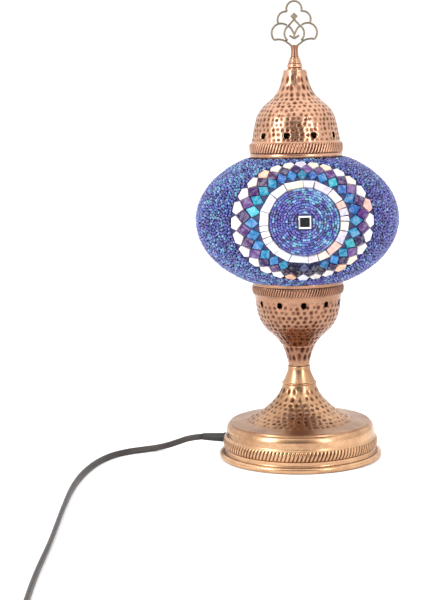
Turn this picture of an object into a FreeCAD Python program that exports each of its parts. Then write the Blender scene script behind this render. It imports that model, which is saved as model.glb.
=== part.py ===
import FreeCAD, Part

import math
import os

from FreeCAD import Vector

os.makedirs("parts", exist_ok=True)

# A mosaic glass table lamp, in millimetres. +Z is up along the lamp's axis, -Y is its front, and
# the origin is on the axis at the surface that the lamp stands on.

# Heights up the axis
FELT = 0.9                # thickness of the pad under the weight
HEM_BOTTOM = 0.4          # the base's rim stands just clear of the table
NECK_TOP = 78.6           # the base's neck ends here and the cup begins
CUP_RIM = 152.0
GLOBE_Z = 203.7           # the globe's widest level
CAP_BOTTOM = 254.5
CAP_TOP = 327.7
SLEEVE_TOP = 338.2
STEM_TOP = 348.2

# The globe: an oblate shell, with skins of grout, beads and tiles on it
GLASS_A = 82.6            # outer half-width of the bare glass
GLASS_B = 56.6            # outer half-height of the bare glass
GLASS_WALL = 2.6
BED = 1.0                 # thickness of the grout
COVER = 3.0               # height of the beads' tops above the glass
OPENING_R = 35.5          # the glass is cut open to this radius, above and below
LOWER_SKIN_R = 39.6       # the skins stop at these radii, outside the metal collars
UPPER_SKIN_R = 40.0

# The medallions: rings about a small mirror, measured along the glass from its middle
MEDALLIONS = 2            # one in front and one behind
FIRST_MEDALLION = 4.2     # degrees round from the front, towards +X
RAISED = 3.3              # degrees that their middles stand above the globe's widest level
MIRROR = 10.0
CENTRE_DISC = 28.2        # beads fill the middle out to here
WHITE_RING = (28.9, 36.4)
# Widths of the hand-cut white tiles, anticlockwise from +X: narrow where the globe bends most
WHITE_WIDTHS = [3.9, 5.5, 5.5, 10.0, 13.7, 8.7, 14.7, 11.5, 13.7, 10.0, 4.3, 4.6, 4.3, 8.7, 11.5,
                15.1, 8.2, 8.4, 11.0, 10.0, 6.9]
DIAMONDS = 28             # tiles in each ring of diamonds
DIAMOND_HALF = 6.6        # from a diamond's middle to its inner or outer point
TEAL_RING = 42.7
PURPLE_RING = 50.1
EDGE_RING = 57.2
TILE = 1.9                # thickness of the cut tiles
TILE_GAP = 0.5
MEDALLION_EDGE = 62.4

WALL = 1.0                # spun sheet metal
THREAD_R = 5.0            # M10 x 1 lamp tube
THREAD_BORE = 4.0
HOLE_R = 5.15

# The lead: a flat twin, drawn here as a round one of its width
CORD = 5.4
CORD_TURN = 168.0         # degrees round from +X where it leaves the base
CORD_Z = 12.6
BUSH_END = 86.6           # its outer end, measured from the axis

TOP = Vector(0, 0, 1)


def vec(r, z):
    return Vector(r, 0, z)


def edges(points):
    """Straight edges through points (r, z)."""
    return [Part.LineSegment(vec(*a), vec(*b)).toShape() for a, b in zip(points, points[1:])]


def smooth(points):
    """One smooth edge through points (r, z)."""
    curve = Part.BSplineCurve()
    curve.interpolate([vec(*p) for p in points])
    return [curve.toShape()]


def spin(profile):
    """The solid swept by a closed profile of edges turned about the axis."""
    face = Part.Face(Part.Wire(Part.__sortEdges__(profile)))
    solid = face.revolve(Vector(0, 0, 0), TOP, 360)
    return solid if solid.ShapeType == "Solid" else Part.makeSolid(solid)


def turned(points):
    """A turned piece whose section is the closed polygon of points (r, z)."""
    return spin(edges(points + points[:1]))


def drum(radius, low, high, hole=0.0):
    solid = Part.makeCylinder(radius, high - low, Vector(0, 0, low))
    if hole:
        solid = solid.cut(Part.makeCylinder(hole, high - low + 2, Vector(0, 0, low - 1)))
    return solid


def turn(shape, degrees):
    copy = shape.copy()
    copy.rotate(Vector(0, 0, 0), TOP, degrees)
    return copy


def moved(shape, x, y, z):
    copy = shape.copy()
    copy.translate(Vector(x, y, z))
    return copy


def box(x0, x1, y0, y1, z0, z1):
    return Part.makeBox(x1 - x0, y1 - y0, z1 - z0, Vector(x0, y0, z0))


def rod(start, end, radius):
    """A round rod from one point to another."""
    way = end - start
    return Part.makeCylinder(radius, way.Length, start, way)


def save(node, shape):
    """Write one sub-part, a solid or a group of separate solids, to its own file."""
    solids = shape if isinstance(shape, list) else [shape]
    body = solids[0] if len(solids) == 1 else Part.makeCompound(solids)
    assert body.isValid(), node
    assert all(s.Volume > 0 for s in body.Solids), node
    body.exportStep(f"parts/{node}.step")


# Base -----------------------------------------------------------------------------------------

BASE_NECK = [(9.4, NECK_TOP), (9.9, 74.2), (11.8, 69.2), (14.0, 64.6)]
BASE_CONE = [(14.3, 63.2), (15.7, 58.0), (19.5, 51.6), (25.8, 44.8), (33.6, 38.4), (46.0, 31.9)]


def base_shell():
    """Spun base: hem, knurled band, shoulder, dished top, flaring cone and ringed neck."""
    hem = [(64.2, HEM_BOTTOM), (68.2, HEM_BOTTOM), (69.3, 1.7), (69.3, 3.7), (67.4, 5.3),
           (64.7, 5.7), (64.7, 9.0)]
    band = [(64.7, 9.0), (65.7, 10.6), (66.0, 13.4), (65.7, 16.2), (64.6, 17.9)]
    shoulder = [(64.6, 17.9), (63.6, 18.7), (63.3, 25.2), (61.4, 28.6), (60.5, 28.8), (59.8, 30.4),
                (58.8, 30.5), (46.0, 31.9)]
    profile = edges(hem) + smooth(band) + edges(shoulder)
    profile += smooth(BASE_CONE) + edges([BASE_CONE[0], BASE_NECK[-1]]) + smooth(BASE_NECK)
    inner_cone = [(r - 0.7 * WALL, z - 0.9 * WALL) for r, z in reversed(BASE_CONE[1:])]
    inside = [(8.3, NECK_TOP - 1.6), (8.8, 73.6), (12.9, 63.8), inner_cone[-1]]
    profile += edges([(9.4, NECK_TOP), (HOLE_R, NECK_TOP), (HOLE_R, NECK_TOP - 1.6), inside[0]])
    profile += edges(inside) + smooth(inner_cone)
    profile += edges([inner_cone[0], (58.4, 29.4), (62.2, 24.8), (62.3, 3.8), (64.2, HEM_BOTTOM)])
    shell = spin(profile)
    return shell.cut(lead_hole(3.95, 55, 72))


def lead_hole(radius, start, end):
    """A rod along the lead's way out of the base."""
    return turn(rod(Vector(start, 0, CORD_Z), Vector(end, 0, CORD_Z), radius), CORD_TURN)


def out(shape):
    """Turn a piece made along +X to the side where the lead comes out."""
    return turn(shape, CORD_TURN)


def along_lead(stations):
    """A turned piece on the lead's line out of the base, from (radius, distance) stations."""
    solid = turned([(0, stations[0][1])] + stations + [(0, stations[-1][1])])
    solid.rotate(Vector(0, 0, 0), Vector(0, 1, 0), 90)
    return moved(solid, 0, 0, CORD_Z)


BALLAST_TOP = 7.9
NUT_R = 8.1               # across the corners of an M10 lamp nut, halved


def hex_nut(low, high, corner_r=NUT_R, bore=HOLE_R):
    nut = Part.makePolygon([Vector(corner_r * math.cos(math.radians(60 * k)),
                                   corner_r * math.sin(math.radians(60 * k)), low)
                            for k in range(7)])
    return Part.Face(nut).extrude(Vector(0, 0, high - low)).cut(drum(bore, low - 1, high + 1))


save("felt_pad", drum(62.4, 0.0, FELT))
save("ballast_disc", drum(60.8, FELT, BALLAST_TOP, HOLE_R).cut(drum(12.5, FELT - 1, 5.4)))
save("base_shell", base_shell())

TUBE_BOTTOM = 1.4
TUBE_TOP = 93.0
LEAD_R = 1.9              # the lead's two cores inside the lamp
LEAD_BEND = 9.0

window = out(box(2.0, 6.0, -2.4, 2.4, CORD_Z - 3.0, CORD_Z + 8.0))
save("threaded_tube", drum(THREAD_R, TUBE_BOTTOM, TUBE_TOP, THREAD_BORE).cut(window))

CUP_FLOOR = 80.3
FLOOR_NUT = 84.9
save("tube_nuts", [hex_nut(1.5, 4.0), hex_nut(CUP_FLOOR + 1.0, FLOOR_NUT, 7.4)])
save("tube_washers", [drum(9.5, 4.1, 5.3, HOLE_R), drum(7.2, CUP_FLOOR, CUP_FLOOR + 0.9, HOLE_R)])

# The bush: a flange each side of the wall, a barrel through it and a tapered sleeve outside
bush = along_lead([(4.5, 59.2), (4.5, 61.4), (3.7, 61.4), (3.7, 66.5), (4.4, 66.5), (4.3, 67.7),
                   (3.9, 67.9), (3.1, BUSH_END)])
save("cord_bush", out(bush.cut(along_lead([(CORD / 2, 50), (CORD / 2, BUSH_END + 2)]))))

GRIP_AT = 44.0            # distance from the axis to the middle of the grip
grip = box(GRIP_AT - 6, GRIP_AT + 6, -11, 11, BALLAST_TOP, CORD_Z + 5.0)
grip = grip.cut(rod(Vector(GRIP_AT - 8, 0, CORD_Z), Vector(GRIP_AT + 8, 0, CORD_Z), CORD / 2))
GRIP_SCREWS = (-7.5, 7.5)
for side in GRIP_SCREWS:
    grip = grip.cut(Part.makeCylinder(1.6, 14, Vector(GRIP_AT, side, BALLAST_TOP - 1)))
save("cord_grip", out(grip))
save("grip_screws", [out(Part.makeCylinder(1.5, 10.5, Vector(GRIP_AT, side, BALLAST_TOP + 0.1)).fuse(
    Part.makeCylinder(2.8, 1.8, Vector(GRIP_AT, side, CORD_Z + 5.1)))) for side in GRIP_SCREWS])


def swept(points, bends, radius):
    """A round bar along straight runs joined by tangent arcs of the given bend radii."""
    path = []
    start = points[0]
    for before, corner, after, bend in zip(points, points[1:], points[2:], bends):
        inward = (before - corner).normalize()
        outward = (after - corner).normalize()
        half = inward.getAngle(outward) / 2
        reach = bend / math.tan(half)
        middle = (inward + outward).normalize() * (bend / math.sin(half) - bend)
        first = corner + inward * reach
        last = corner + outward * reach
        path.append(Part.LineSegment(start, first).toShape())
        path.append(Part.Arc(first, corner + middle, last).toShape())
        start = last
    path.append(Part.LineSegment(start, points[-1]).toShape())
    spine = Part.Wire(path)
    ring = Part.Wire(Part.Circle(points[0], points[1] - points[0], radius).toShape())
    bar = spine.makePipeShell([ring], True, False)
    ideal = math.pi * radius ** 2 * spine.Length
    print(f"swept bar: length {spine.Length:.1f}, volume over section times length "
          f"{bar.Volume / ideal:.4f}")
    return bar if bar.ShapeType == "Solid" else Part.makeSolid(bar)


LEAD_TOP = 96.0
lead_corner = Vector(0, 0, CORD_Z)
lead_end = Vector(BUSH_END - 0.1, 0, CORD_Z)
save("inner_lead", out(swept([lead_end, lead_corner, Vector(0, 0, LEAD_TOP)], [LEAD_BEND], LEAD_R)))

# Cup ------------------------------------------------------------------------------------------

CUP_WALL = [(8.9, NECK_TOP + 0.05), (9.7, 83.4), (11.6, 90.0), (14.6, 97.0), (19.9, 103.7),
            (27.1, 110.4), (31.8, 117.0), (34.5, 124.0), (35.8, 131.0), (36.4, 137.5)]
CUP_VENTS = 11
CUP_VENT_Z = 134.2
CUP_VENT_R = 2.4


def vents(count, first, z, radius, reach):
    """Rods that pierce a ring of round holes. The first is turned from the front by degrees."""
    hole = rod(Vector(0, -reach + 14, z), Vector(0, -reach, z), radius)
    return [turn(hole, first + 360.0 * k / count) for k in range(count)]


def cup_shell():
    """Spun cup: neck, bowl with vents, knurled band, and a gallery with a ledge for the globe."""
    band = [(36.9, 140.6), (38.4, 141.9), (39.0, 144.8), (38.7, 147.7), (38.1, 149.0)]
    inside = [(7.6, CUP_FLOOR), (8.7, 84.0), (10.5, 90.2), (13.4, 97.4), (19.0, 104.5),
              (26.2, 111.2), (30.8, 117.5), (33.5, 124.3), (34.8, 131.2), (35.4, 137.6)]
    profile = smooth(CUP_WALL) + edges([CUP_WALL[-1], band[0]]) + smooth(band)
    profile += edges([band[-1], (38.5, 149.6), (38.5, CUP_RIM), (37.5, CUP_RIM), (37.5, 148.8),
                      (33.4, 148.8), (33.4, 147.6), (35.9, 146.4), (35.9, 141.2), inside[-1]])
    profile += smooth(inside)
    profile += edges([inside[0], (HOLE_R, CUP_FLOOR), (HOLE_R, NECK_TOP + 0.05), CUP_WALL[0]])
    return spin(profile).cut(vents(CUP_VENTS, 7.5, CUP_VENT_Z, CUP_VENT_R, 42))


save("cup_shell", cup_shell())

# Lampholder (E14) -----------------------------------------------------------------------------

SKIRT_FLOOR = 87.3
BODY_LOW = 111.0
BODY_TOP = 139.0
save("holder_skirt", turned([
    (HOLE_R, SKIRT_FLOOR), (8.2, SKIRT_FLOOR), (8.6, 92.0), (13.2, 98.0), (13.6, 100.0),
    (13.6, BODY_LOW), (12.2, BODY_LOW), (12.2, 100.4), (8.0, 94.6), (HOLE_R, 94.6)]))
save("holder_insert", drum(11.9, 102.5, 110.5, 2.6))
save("holder_body", turned([
    (12.2, BODY_LOW + 0.1), (13.6, BODY_LOW + 0.1), (13.6, 115.0), (12.8, 115.8), (12.8, BODY_TOP),
    (10.0, BODY_TOP), (10.0, 137.6), (11.4, 137.6), (11.4, 114.0), (12.2, 113.2)]))
save("thread_shell", turned([
    (3.6, 110.7), (8.4, 110.7), (8.4, 112.2), (7.8, 112.8), (7.8, 136.5), (7.25, 136.5),
    (7.25, 112.2), (3.6, 112.2)]))
save("centre_contact", turned([(0, 102.8), (2.5, 102.8), (2.5, 110.6), (1.2, 110.6), (1.2, 112.6),
                               (2.2, 112.6), (2.2, 114.0), (0, 114.0)]))
save("terminal_screws", [box(side * 7.0 - 1.6, side * 7.0 + 1.6, -2.5, 2.5, 98.9, 102.4)
                         for side in (-1, 1)])


def core_wire(side):
    """One core of the lead, from the tube's top out to its terminal."""
    points = [Vector(side * 1.3, 0, LEAD_TOP + 0.1), Vector(side * 1.3, 0, 97.8),
              Vector(side * 4.7, 0, 100.2)]
    return swept(points, [1.6], 0.9)


save("core_wires", [core_wire(-1), core_wire(1)])

# Bulb -----------------------------------------------------------------------------------------

BULB_R = 22.5
BULB_Z = 168.0
BULB_NECK_R = 8.2
BULB_NECK_Z = 138.8


def bulb_glass():
    """A thin ball with a cylinder neck, closed all round except at the neck."""
    def ball(radius, neck, low):
        meet = BULB_Z - math.sqrt(radius ** 2 - neck ** 2)
        shape = Part.makeSphere(radius, Vector(0, 0, BULB_Z))
        return shape.fuse(drum(neck, low, meet + 3.0)).removeSplitter()
    return ball(BULB_R, BULB_NECK_R, BULB_NECK_Z).cut(
        ball(BULB_R - 0.8, BULB_NECK_R - 0.8, BULB_NECK_Z - 1))


save("bulb_cap", turned([
    (6.2, 116.4), (6.95, 117.4), (6.95, 136.9), (8.6, 138.6), (8.6, 141.4), (8.25, 141.4),
    (8.25, 138.75), (6.5, 138.2), (6.5, 117.5), (5.8, 116.9)]))
save("bulb_insulator", turned([(0, 115.4), (3.2, 115.4), (5.7, 116.8), (5.7, 117.6), (0, 117.6)]))
save("bulb_tip", turned([(0, 114.3), (1.6, 114.5), (2.3, 115.3), (0, 115.3)]))
save("bulb_glass", bulb_glass())
save("bulb_stem", turned([(0, 118.0), (5.6, 118.0), (5.2, 141.0), (3.0, 149.0), (1.2, 153.0),
                          (1.2, 159.0), (0, 159.0)]))
FILAMENTS = 4
filament = rod(Vector(4.0, 0, 160.0), Vector(7.0, 0, 181.0), 0.9)
save("bulb_filament", [turn(filament, 45 + 90 * k) for k in range(FILAMENTS)])

# Globe ----------------------------------------------------------------------------------------

OUTLINE_STEPS = 24        # stretches of the globe's outline


def oblate_height(r, lift):
    """How far above the globe's middle its surface is at radius r, on a skin at this lift."""
    a, b = GLASS_A + lift, GLASS_B + lift
    return b * math.sqrt(1 - (r / a) ** 2)


def oblate_arc(lift, low_r, high_r):
    """The outline of the globe at this lift, from its lower cut round to its upper one."""
    a, b = GLASS_A + lift, GLASS_B + lift
    first, last = -math.acos(low_r / a), math.acos(high_r / a)
    turns = [first + (last - first) * k / OUTLINE_STEPS for k in range(OUTLINE_STEPS + 1)]
    return smooth([(a * math.cos(t), GLOBE_Z + b * math.sin(t)) for t in turns])


def skin(inner, outer, low_r, high_r):
    """A layer of the globe's wall between two lifts, cut off square above and below."""
    profile = oblate_arc(inner, low_r, high_r) + oblate_arc(outer, low_r, high_r)
    for sign, r in ((-1, low_r), (1, high_r)):
        profile += edges([(r, GLOBE_Z + sign * oblate_height(r, inner)),
                          (r, GLOBE_Z + sign * oblate_height(r, outer))])
    return spin(profile)


def medallion_window(radius, lift):
    """A prism that punches a medallion's patch, out to this radius, from a skin at the front."""
    rim = [arc_point(radius, 7.5 * k, lift) for k in range(48)]
    curve = Part.BSplineCurve()
    curve.interpolate(Points=[Vector(p.x, 0, p.z) for p in rim], PeriodicFlag=True)
    face = Part.Face(Part.Wire(curve.toShape()))
    return moved(face.extrude(Vector(0, -GLASS_A, 0)), 0, -0.3 * GLASS_B, 0)


def arc_point(distance, bearing, lift):
    """The point of the globe at a distance along its surface from a medallion's middle.

    The bearing is in degrees from +X towards +Z. The way there is the oval that a plane through
    the globe's centre cuts, with half-axes a, forwards, and reach, sideways. At the end the
    medallion is raised, by a turn of the sphere that the globe is a flattened one of."""
    a, b = GLASS_A + lift, GLASS_B + lift
    east, north = math.cos(math.radians(bearing)), math.sin(math.radians(bearing))
    reach = 1 / math.sqrt((east / a) ** 2 + (north / b) ** 2)
    angle = distance / reach
    for _ in range(4):
        length = reach * angle + (a ** 2 - reach ** 2) * angle ** 3 / (6 * reach)
        angle += (distance - length) / reach
    side = reach * math.sin(angle)
    ahead, up = math.cos(angle), side * north / b
    raised, level = math.sin(math.radians(RAISED)), math.cos(math.radians(RAISED))
    return Vector(side * east, -a * (ahead * level - up * raised),
                  GLOBE_Z + b * (up * level + ahead * raised))


def tile(corners):
    """A flat tile on the grout: corners are (distance, bearing) on the globe."""
    points = [arc_point(s, bearing, BED) for s, bearing in corners]
    middle = sum(points, Vector(0, 0, 0)) * (1.0 / len(points))
    out_way = Vector(middle.x / (GLASS_A + BED) ** 2, middle.y / (GLASS_A + BED) ** 2,
                     (middle.z - GLOBE_Z) / (GLASS_B + BED) ** 2).normalize()
    foot = max((p - middle).dot(out_way) for p in points)
    surface = oblate_lift(middle, out_way)
    flat = [p - out_way * (p - middle).dot(out_way) for p in points]
    start = out_way * (max(foot, surface) + 0.05)
    face = Part.Face(Part.makePolygon([p + start for p in flat] + [flat[0] + start]))
    return face.extrude(out_way * TILE)


def oblate_lift(point, way):
    """How far a point inside the grout's surface must move along way to reach it."""
    a, b = GLASS_A + BED, GLASS_B + BED
    scale = Vector(1 / a, 1 / a, 1 / b)
    p = Vector(point.x * scale.x, point.y * scale.y, (point.z - GLOBE_Z) * scale.z)
    w = Vector(way.x * scale.x, way.y * scale.y, way.z * scale.z)
    half = p.dot(w)
    return (-half + math.sqrt(half ** 2 - w.dot(w) * (p.dot(p) - 1))) / w.dot(w)


def shrunk(corners, gap):
    """Corners (distance, bearing) drawn in towards their middle to leave a joint between tiles."""
    middle_s = sum(s for s, _ in corners) / len(corners)
    middle_b = sum(b for _, b in corners) / len(corners)
    reach = max(abs(s - middle_s) for s, _ in corners)
    keep = 1 - gap / (2 * reach)
    return [(middle_s + keep * (s - middle_s), middle_b + keep * (b - middle_b))
            for s, b in corners]


def diamond(ring, k, shift):
    """The k-th diamond of a ring, a tile with its points in and out."""
    step = 360.0 / DIAMONDS
    bearing = step * (k + shift)
    corners = [(ring - DIAMOND_HALF, bearing), (ring, bearing + step / 2),
               (ring + DIAMOND_HALF, bearing), (ring, bearing - step / 2)]
    return tile(shrunk(corners, TILE_GAP))


def white_tile(k):
    """The k-th tile of the white ring, as wide as it was cut."""
    degrees = 360.0 / sum(WHITE_WIDTHS)
    start = degrees * sum(WHITE_WIDTHS[:k])
    end = start + degrees * WHITE_WIDTHS[k]
    inner, outer = WHITE_RING
    middle_s, middle_b = (inner + outer) / 2, (start + end) / 2
    half_s = (outer - inner - TILE_GAP) / 2
    half_b = (end - start) / 2 - math.degrees(TILE_GAP / 2 / middle_s)
    return tile([(middle_s - half_s, middle_b - half_b), (middle_s + half_s, middle_b - half_b),
                 (middle_s + half_s, middle_b + half_b), (middle_s - half_s, middle_b + half_b)])


def edge_tile(k):
    """A white tile with its point between two purple diamonds and its outer end cut blunt."""
    step = 360.0 / DIAMONDS
    blunt = MEDALLION_EDGE - 0.8
    corners = [(EDGE_RING - 5.8, step * k), (EDGE_RING, step * (k + 0.5)),
               (blunt, step * (k + 0.3)), (blunt, step * (k - 0.3)), (EDGE_RING, step * (k - 0.5))]
    return tile(shrunk(corners, TILE_GAP))


def on_each_medallion(solids):
    return [turn(s, FIRST_MEDALLION + 360.0 * m / MEDALLIONS)
            for m in range(MEDALLIONS) for s in solids]


half_mirror = MIRROR / 2
mirror_corners = [(math.hypot(half_mirror, half_mirror), 45 + 90 * k) for k in range(4)]
save("glass_globe", skin(-GLASS_WALL, 0.0, OPENING_R, OPENING_R))
save("mosaic_bed", skin(0.02, BED, LOWER_SKIN_R, UPPER_SKIN_R))

beads = skin(BED + 0.02, COVER, LOWER_SKIN_R, UPPER_SKIN_R)
patches = on_each_medallion([medallion_window(MEDALLION_EDGE + 1.6, COVER)])
save("bead_field", beads.cut(patches))
mirror_z = arc_point(0, 0, BED).z
centre = beads.common(medallion_window(CENTRE_DISC, COVER)).cut(
    box(-MIRROR * 0.62, MIRROR * 0.62, -100, 0, mirror_z - MIRROR * 0.62, mirror_z + MIRROR * 0.62))
save("bead_discs", on_each_medallion([centre.Solids[0]]))

save("mirror_tiles", on_each_medallion([tile(mirror_corners)]))
save("inner_white_tiles", on_each_medallion([white_tile(k) for k in range(len(WHITE_WIDTHS))]))
save("teal_tiles", on_each_medallion([diamond(TEAL_RING, k, 0.0) for k in range(DIAMONDS)]))
save("purple_tiles", on_each_medallion([diamond(PURPLE_RING, k, 0.5) for k in range(DIAMONDS)]))
save("outer_white_tiles", on_each_medallion([edge_tile(k) for k in range(DIAMONDS)]))

save("bedding_ring", turned([(33.6, 148.9), (37.4, 148.9), (37.4, 152.9), (35.0, 152.2),
                             (33.6, 151.6)]))

# Cap ------------------------------------------------------------------------------------------

CAP_VENTS = 10
CAP_VENT_Z = 274.0
CAP_VENT_R = 2.65
CAP_NECK = [(9.35, CAP_TOP), (11.4, 319.4), (13.5, 312.9), (17.4, 306.6), (22.5, 301.8),
            (28.0, 296.8), (32.6, 289.2), (35.0, 280.4), (37.2, 268.6)]


def dome_shell():
    """Spun cap: collar, knurled band, pierced bowl and waisted neck."""
    band = [(38.2, 267.9), (39.1, 266.6), (39.3, 263.4), (39.2, 260.2), (38.9, 259.0)]
    profile = smooth(CAP_NECK) + edges([CAP_NECK[-1], band[0]]) + smooth(band)
    inside = [(8.4, CAP_TOP - 1.2), (10.4, 319.0), (12.6, 312.4), (16.6, 305.8), (21.8, 301.0),
              (27.2, 296.0), (31.6, 288.8), (34.0, 280.2), (36.2, 268.4)]
    profile += edges([band[-1], (38.9, 258.4), (38.1, CAP_BOTTOM), (37.2, CAP_BOTTOM),
                      (37.9, 259.0), (37.9, 267.0), inside[-1]])
    profile += smooth(inside)
    profile += edges([inside[0], (2.2, CAP_TOP - 1.2), (2.2, CAP_TOP), CAP_NECK[0]])
    return spin(profile).cut(vents(CAP_VENTS, -12.0, CAP_VENT_Z, CAP_VENT_R, 42))


save("dome_shell", dome_shell())

CLIPS = 3
CLIP_WIDTH = 8.0
CLIP_THICK = 0.6
RIVET_Z = 262.9
CLIP_LINE = [(37.45, 266.4), (37.45, 260.1), (34.4, 253.0), (34.7, 246.0), (31.5, 239.0)]


def clip():
    """A springy strip, riveted inside the cap and bowed to grip the glass's upper opening."""
    inner = [(r - CLIP_THICK, z) for r, z in reversed(CLIP_LINE)]
    outline = edges(CLIP_LINE + inner + CLIP_LINE[:1])
    strip = Part.Face(Part.Wire(outline)).extrude(Vector(0, CLIP_WIDTH, 0))
    strip = moved(strip, 0, -CLIP_WIDTH / 2, 0)
    return strip.cut(rod(Vector(30, 0, RIVET_Z), Vector(40, 0, RIVET_Z), 1.3))


def rivet():
    shank = rod(Vector(36.0, 0, RIVET_Z), Vector(37.3, 0, RIVET_Z), 1.25)
    return shank.fuse(rod(Vector(35.6, 0, RIVET_Z), Vector(36.6, 0, RIVET_Z), 2.2))


clip_turns = [90 + 360.0 * k / CLIPS for k in range(CLIPS)]
save("spring_clips", [turn(clip(), a) for a in clip_turns])
save("clip_rivets", [turn(rivet(), a) for a in clip_turns])

# Finial ---------------------------------------------------------------------------------------

STUD_R = 2.0
save("finial_sleeve", turned([
    (2.15, CAP_TOP + 0.05), (6.4, CAP_TOP + 0.05), (6.4, 328.8), (5.7, 329.2), (5.7, 329.6),
    (6.1, 330.2), (6.1, 332.3), (5.6, 332.9), (5.3, 332.9), (5.5, 333.6), (5.0, 334.2),
    (5.2, 334.8), (4.7, 335.4), (4.9, 336.0), (4.2, 337.1), (3.9, SLEEVE_TOP), (2.15, SLEEVE_TOP)]))
stem = turned([(0, SLEEVE_TOP + 0.05), (3.3, SLEEVE_TOP + 0.05), (2.9, 340.6), (2.9, 345.2),
               (3.5, STEM_TOP), (0, STEM_TOP)])
save("finial_stem", stem.fuse(drum(STUD_R, 319.0, SLEEVE_TOP + 0.1)).removeSplitter())
save("finial_washer", drum(5.5, 325.3, CAP_TOP - 1.25, 2.15))
save("finial_nut", hex_nut(321.8, 325.2, 4.0, 2.1))

WIRE = 1.5                # the frame's wire, drawn here as a flat fret of this width


def fret_arc(x, z, radius, start, end):
    """A curved stretch of the fret, from one direction to another, in degrees."""
    def at(r, degrees):
        a = math.radians(degrees)
        return Vector(x + r * math.cos(a), 0, z + r * math.sin(a))
    inner, outer = radius - WIRE / 2, radius + WIRE / 2
    middle = (start + end) / 2
    wire = Part.Wire([
        Part.Arc(at(outer, start), at(outer, middle), at(outer, end)).toShape(),
        Part.LineSegment(at(outer, end), at(inner, end)).toShape(),
        Part.Arc(at(inner, end), at(inner, middle), at(inner, start)).toShape(),
        Part.LineSegment(at(inner, start), at(outer, start)).toShape()])
    return [Part.Face(wire).extrude(Vector(0, WIRE, 0)), knot(at(radius, start)),
            knot(at(radius, end))]


def knot(point):
    """A round end where stretches of the fret meet."""
    return Part.makeCylinder(WIRE / 2, WIRE, point, Vector(0, 1, 0))


def fret_bar(x0, z0, x1, z1):
    start, end = Vector(x0, 0, z0), Vector(x1, 0, z1)
    side = (end - start).normalize().cross(Vector(0, 1, 0)) * (WIRE / 2)
    loop = [start + side, end + side, end - side, start - side, start + side]
    bar = Part.Face(Part.makePolygon(loop)).extrude(Vector(0, WIRE, 0))
    return [bar, knot(start), knot(end)]


def fret_half(side):
    """One side of the trefoil: middle lobe, lower lobe, its foot, the ring and the heart."""
    def arc(x, z, radius, start, end):
        if side < 0:
            start, end = 180 - end, 180 - start
        return fret_arc(side * x, z, radius, start, end)

    def bar(x0, z0, x1, z1):
        return fret_bar(side * x0, z0, side * x1, z1)
    pieces = arc(7.0, 369.1, 6.7, -28.0, 98.0)
    pieces += arc(10.9, 358.2, 7.9, -45.0, 128.0)
    pieces += bar(16.5, 352.6, 12.6, 353.1) + bar(12.6, 353.1, 7.6, 352.1)
    pieces += bar(7.6, 352.1, 4.6, 349.4) + bar(4.6, 349.4, 2.4, 347.7)
    pieces += arc(0.9, 357.7, 7.3, -50.0, 55.0)
    pieces += bar(5.1, 363.7, 0.0, 369.1) + bar(5.1, 363.7, 2.2, 361.5) + bar(2.2, 361.5, 0.0, 356.9)
    pieces += bar(4.0, 356.1, 0.0, 353.4) + bar(0.0, 356.9, 0.0, 353.4)
    return pieces


strokes = fret_arc(0.0, 377.8, 6.3, -22.0, 202.0) + fret_half(1) + fret_half(-1)
bead = Part.Face(Part.makePolygon([Vector(3.3, 0, 371.7), Vector(0, 0, 374.9), Vector(-3.3, 0, 371.7),
                                   Vector(0, 0, 368.3), Vector(3.3, 0, 371.7)]))
strokes.append(bead.extrude(Vector(0, WIRE, 0)))
frame = strokes[0].multiFuse(strokes[1:]).removeSplitter()
frame = frame.cut(box(-5, 5, -5, 5, 341, STEM_TOP + 0.05))
assert len(frame.Solids) == 1
save("finial_frame", moved(frame.Solids[0], 0, -WIRE / 2, 0))

# Lead, switch and plug ------------------------------------------------------------------------

# The way that the lead takes, from the bush to the switch, lying on the table
LEAD_RUN = [
    (-84.7, 18.0, 12.6), (-97.0, 20.3, 11.2), (-109.5, 20.8, 6.4), (-122.5, 18.2, 3.3),
    (-136.0, 12.8, 2.75), (-150.0, 5.5, 2.75), (-163.5, -9.5, 2.75), (-173.0, -35.0, 2.75),
    (-178.8, -72.0, 2.75), (-180.4, -115.0, 2.75), (-178.6, -162.0, 2.75), (-175.6, -213.0, 2.75),
    (-172.6, -265.0, 2.75), (-170.9, -318.0, 2.75), (-168.0, -365.0, 2.75), (-164.4, -400.0, 4.2),
    (-161.6, -425.0, 7.0)]
# From the switch into the coil, and from the coil to the plug
LEAD_LINK = [
    (-160.2, -489.0, 7.0), (-158.6, -506.0, 5.6), (-150.5, -524.0, 5.2), (-136.0, -537.0, 5.2)]
LEAD_TAIL = [
    (-108.0, -548.4, 5.2), (-92.0, -549.6, 5.4), (-75.0, -549.4, 5.8), (-57.0, -547.4, 6.6),
    (-40.0, -543.6, 6.9)]
COIL_AT = Vector(-112.0, -514.0, 0)
COIL_IN = 20.8
COIL_OUT = 37.2
COIL_HEIGHT = 11.0


def cord(name, points):
    """A stretch of the lead as a round bar, its bends as large as its runs allow."""
    places = [Vector(*p) for p in points]
    bends = []
    for before, corner, after in zip(places, places[1:], places[2:]):
        half = (before - corner).getAngle(after - corner) / 2
        run = min((before - corner).Length, (after - corner).Length)
        bends.append(0.45 * run * math.tan(half))
    print(name, "bend radii", [round(b) for b in bends])
    return swept(places, bends, CORD / 2)


save("cord_run", cord("cord_run", LEAD_RUN))
save("cord_link", cord("cord_link", LEAD_LINK))
save("cord_tail", cord("cord_tail", LEAD_TAIL))

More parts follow.
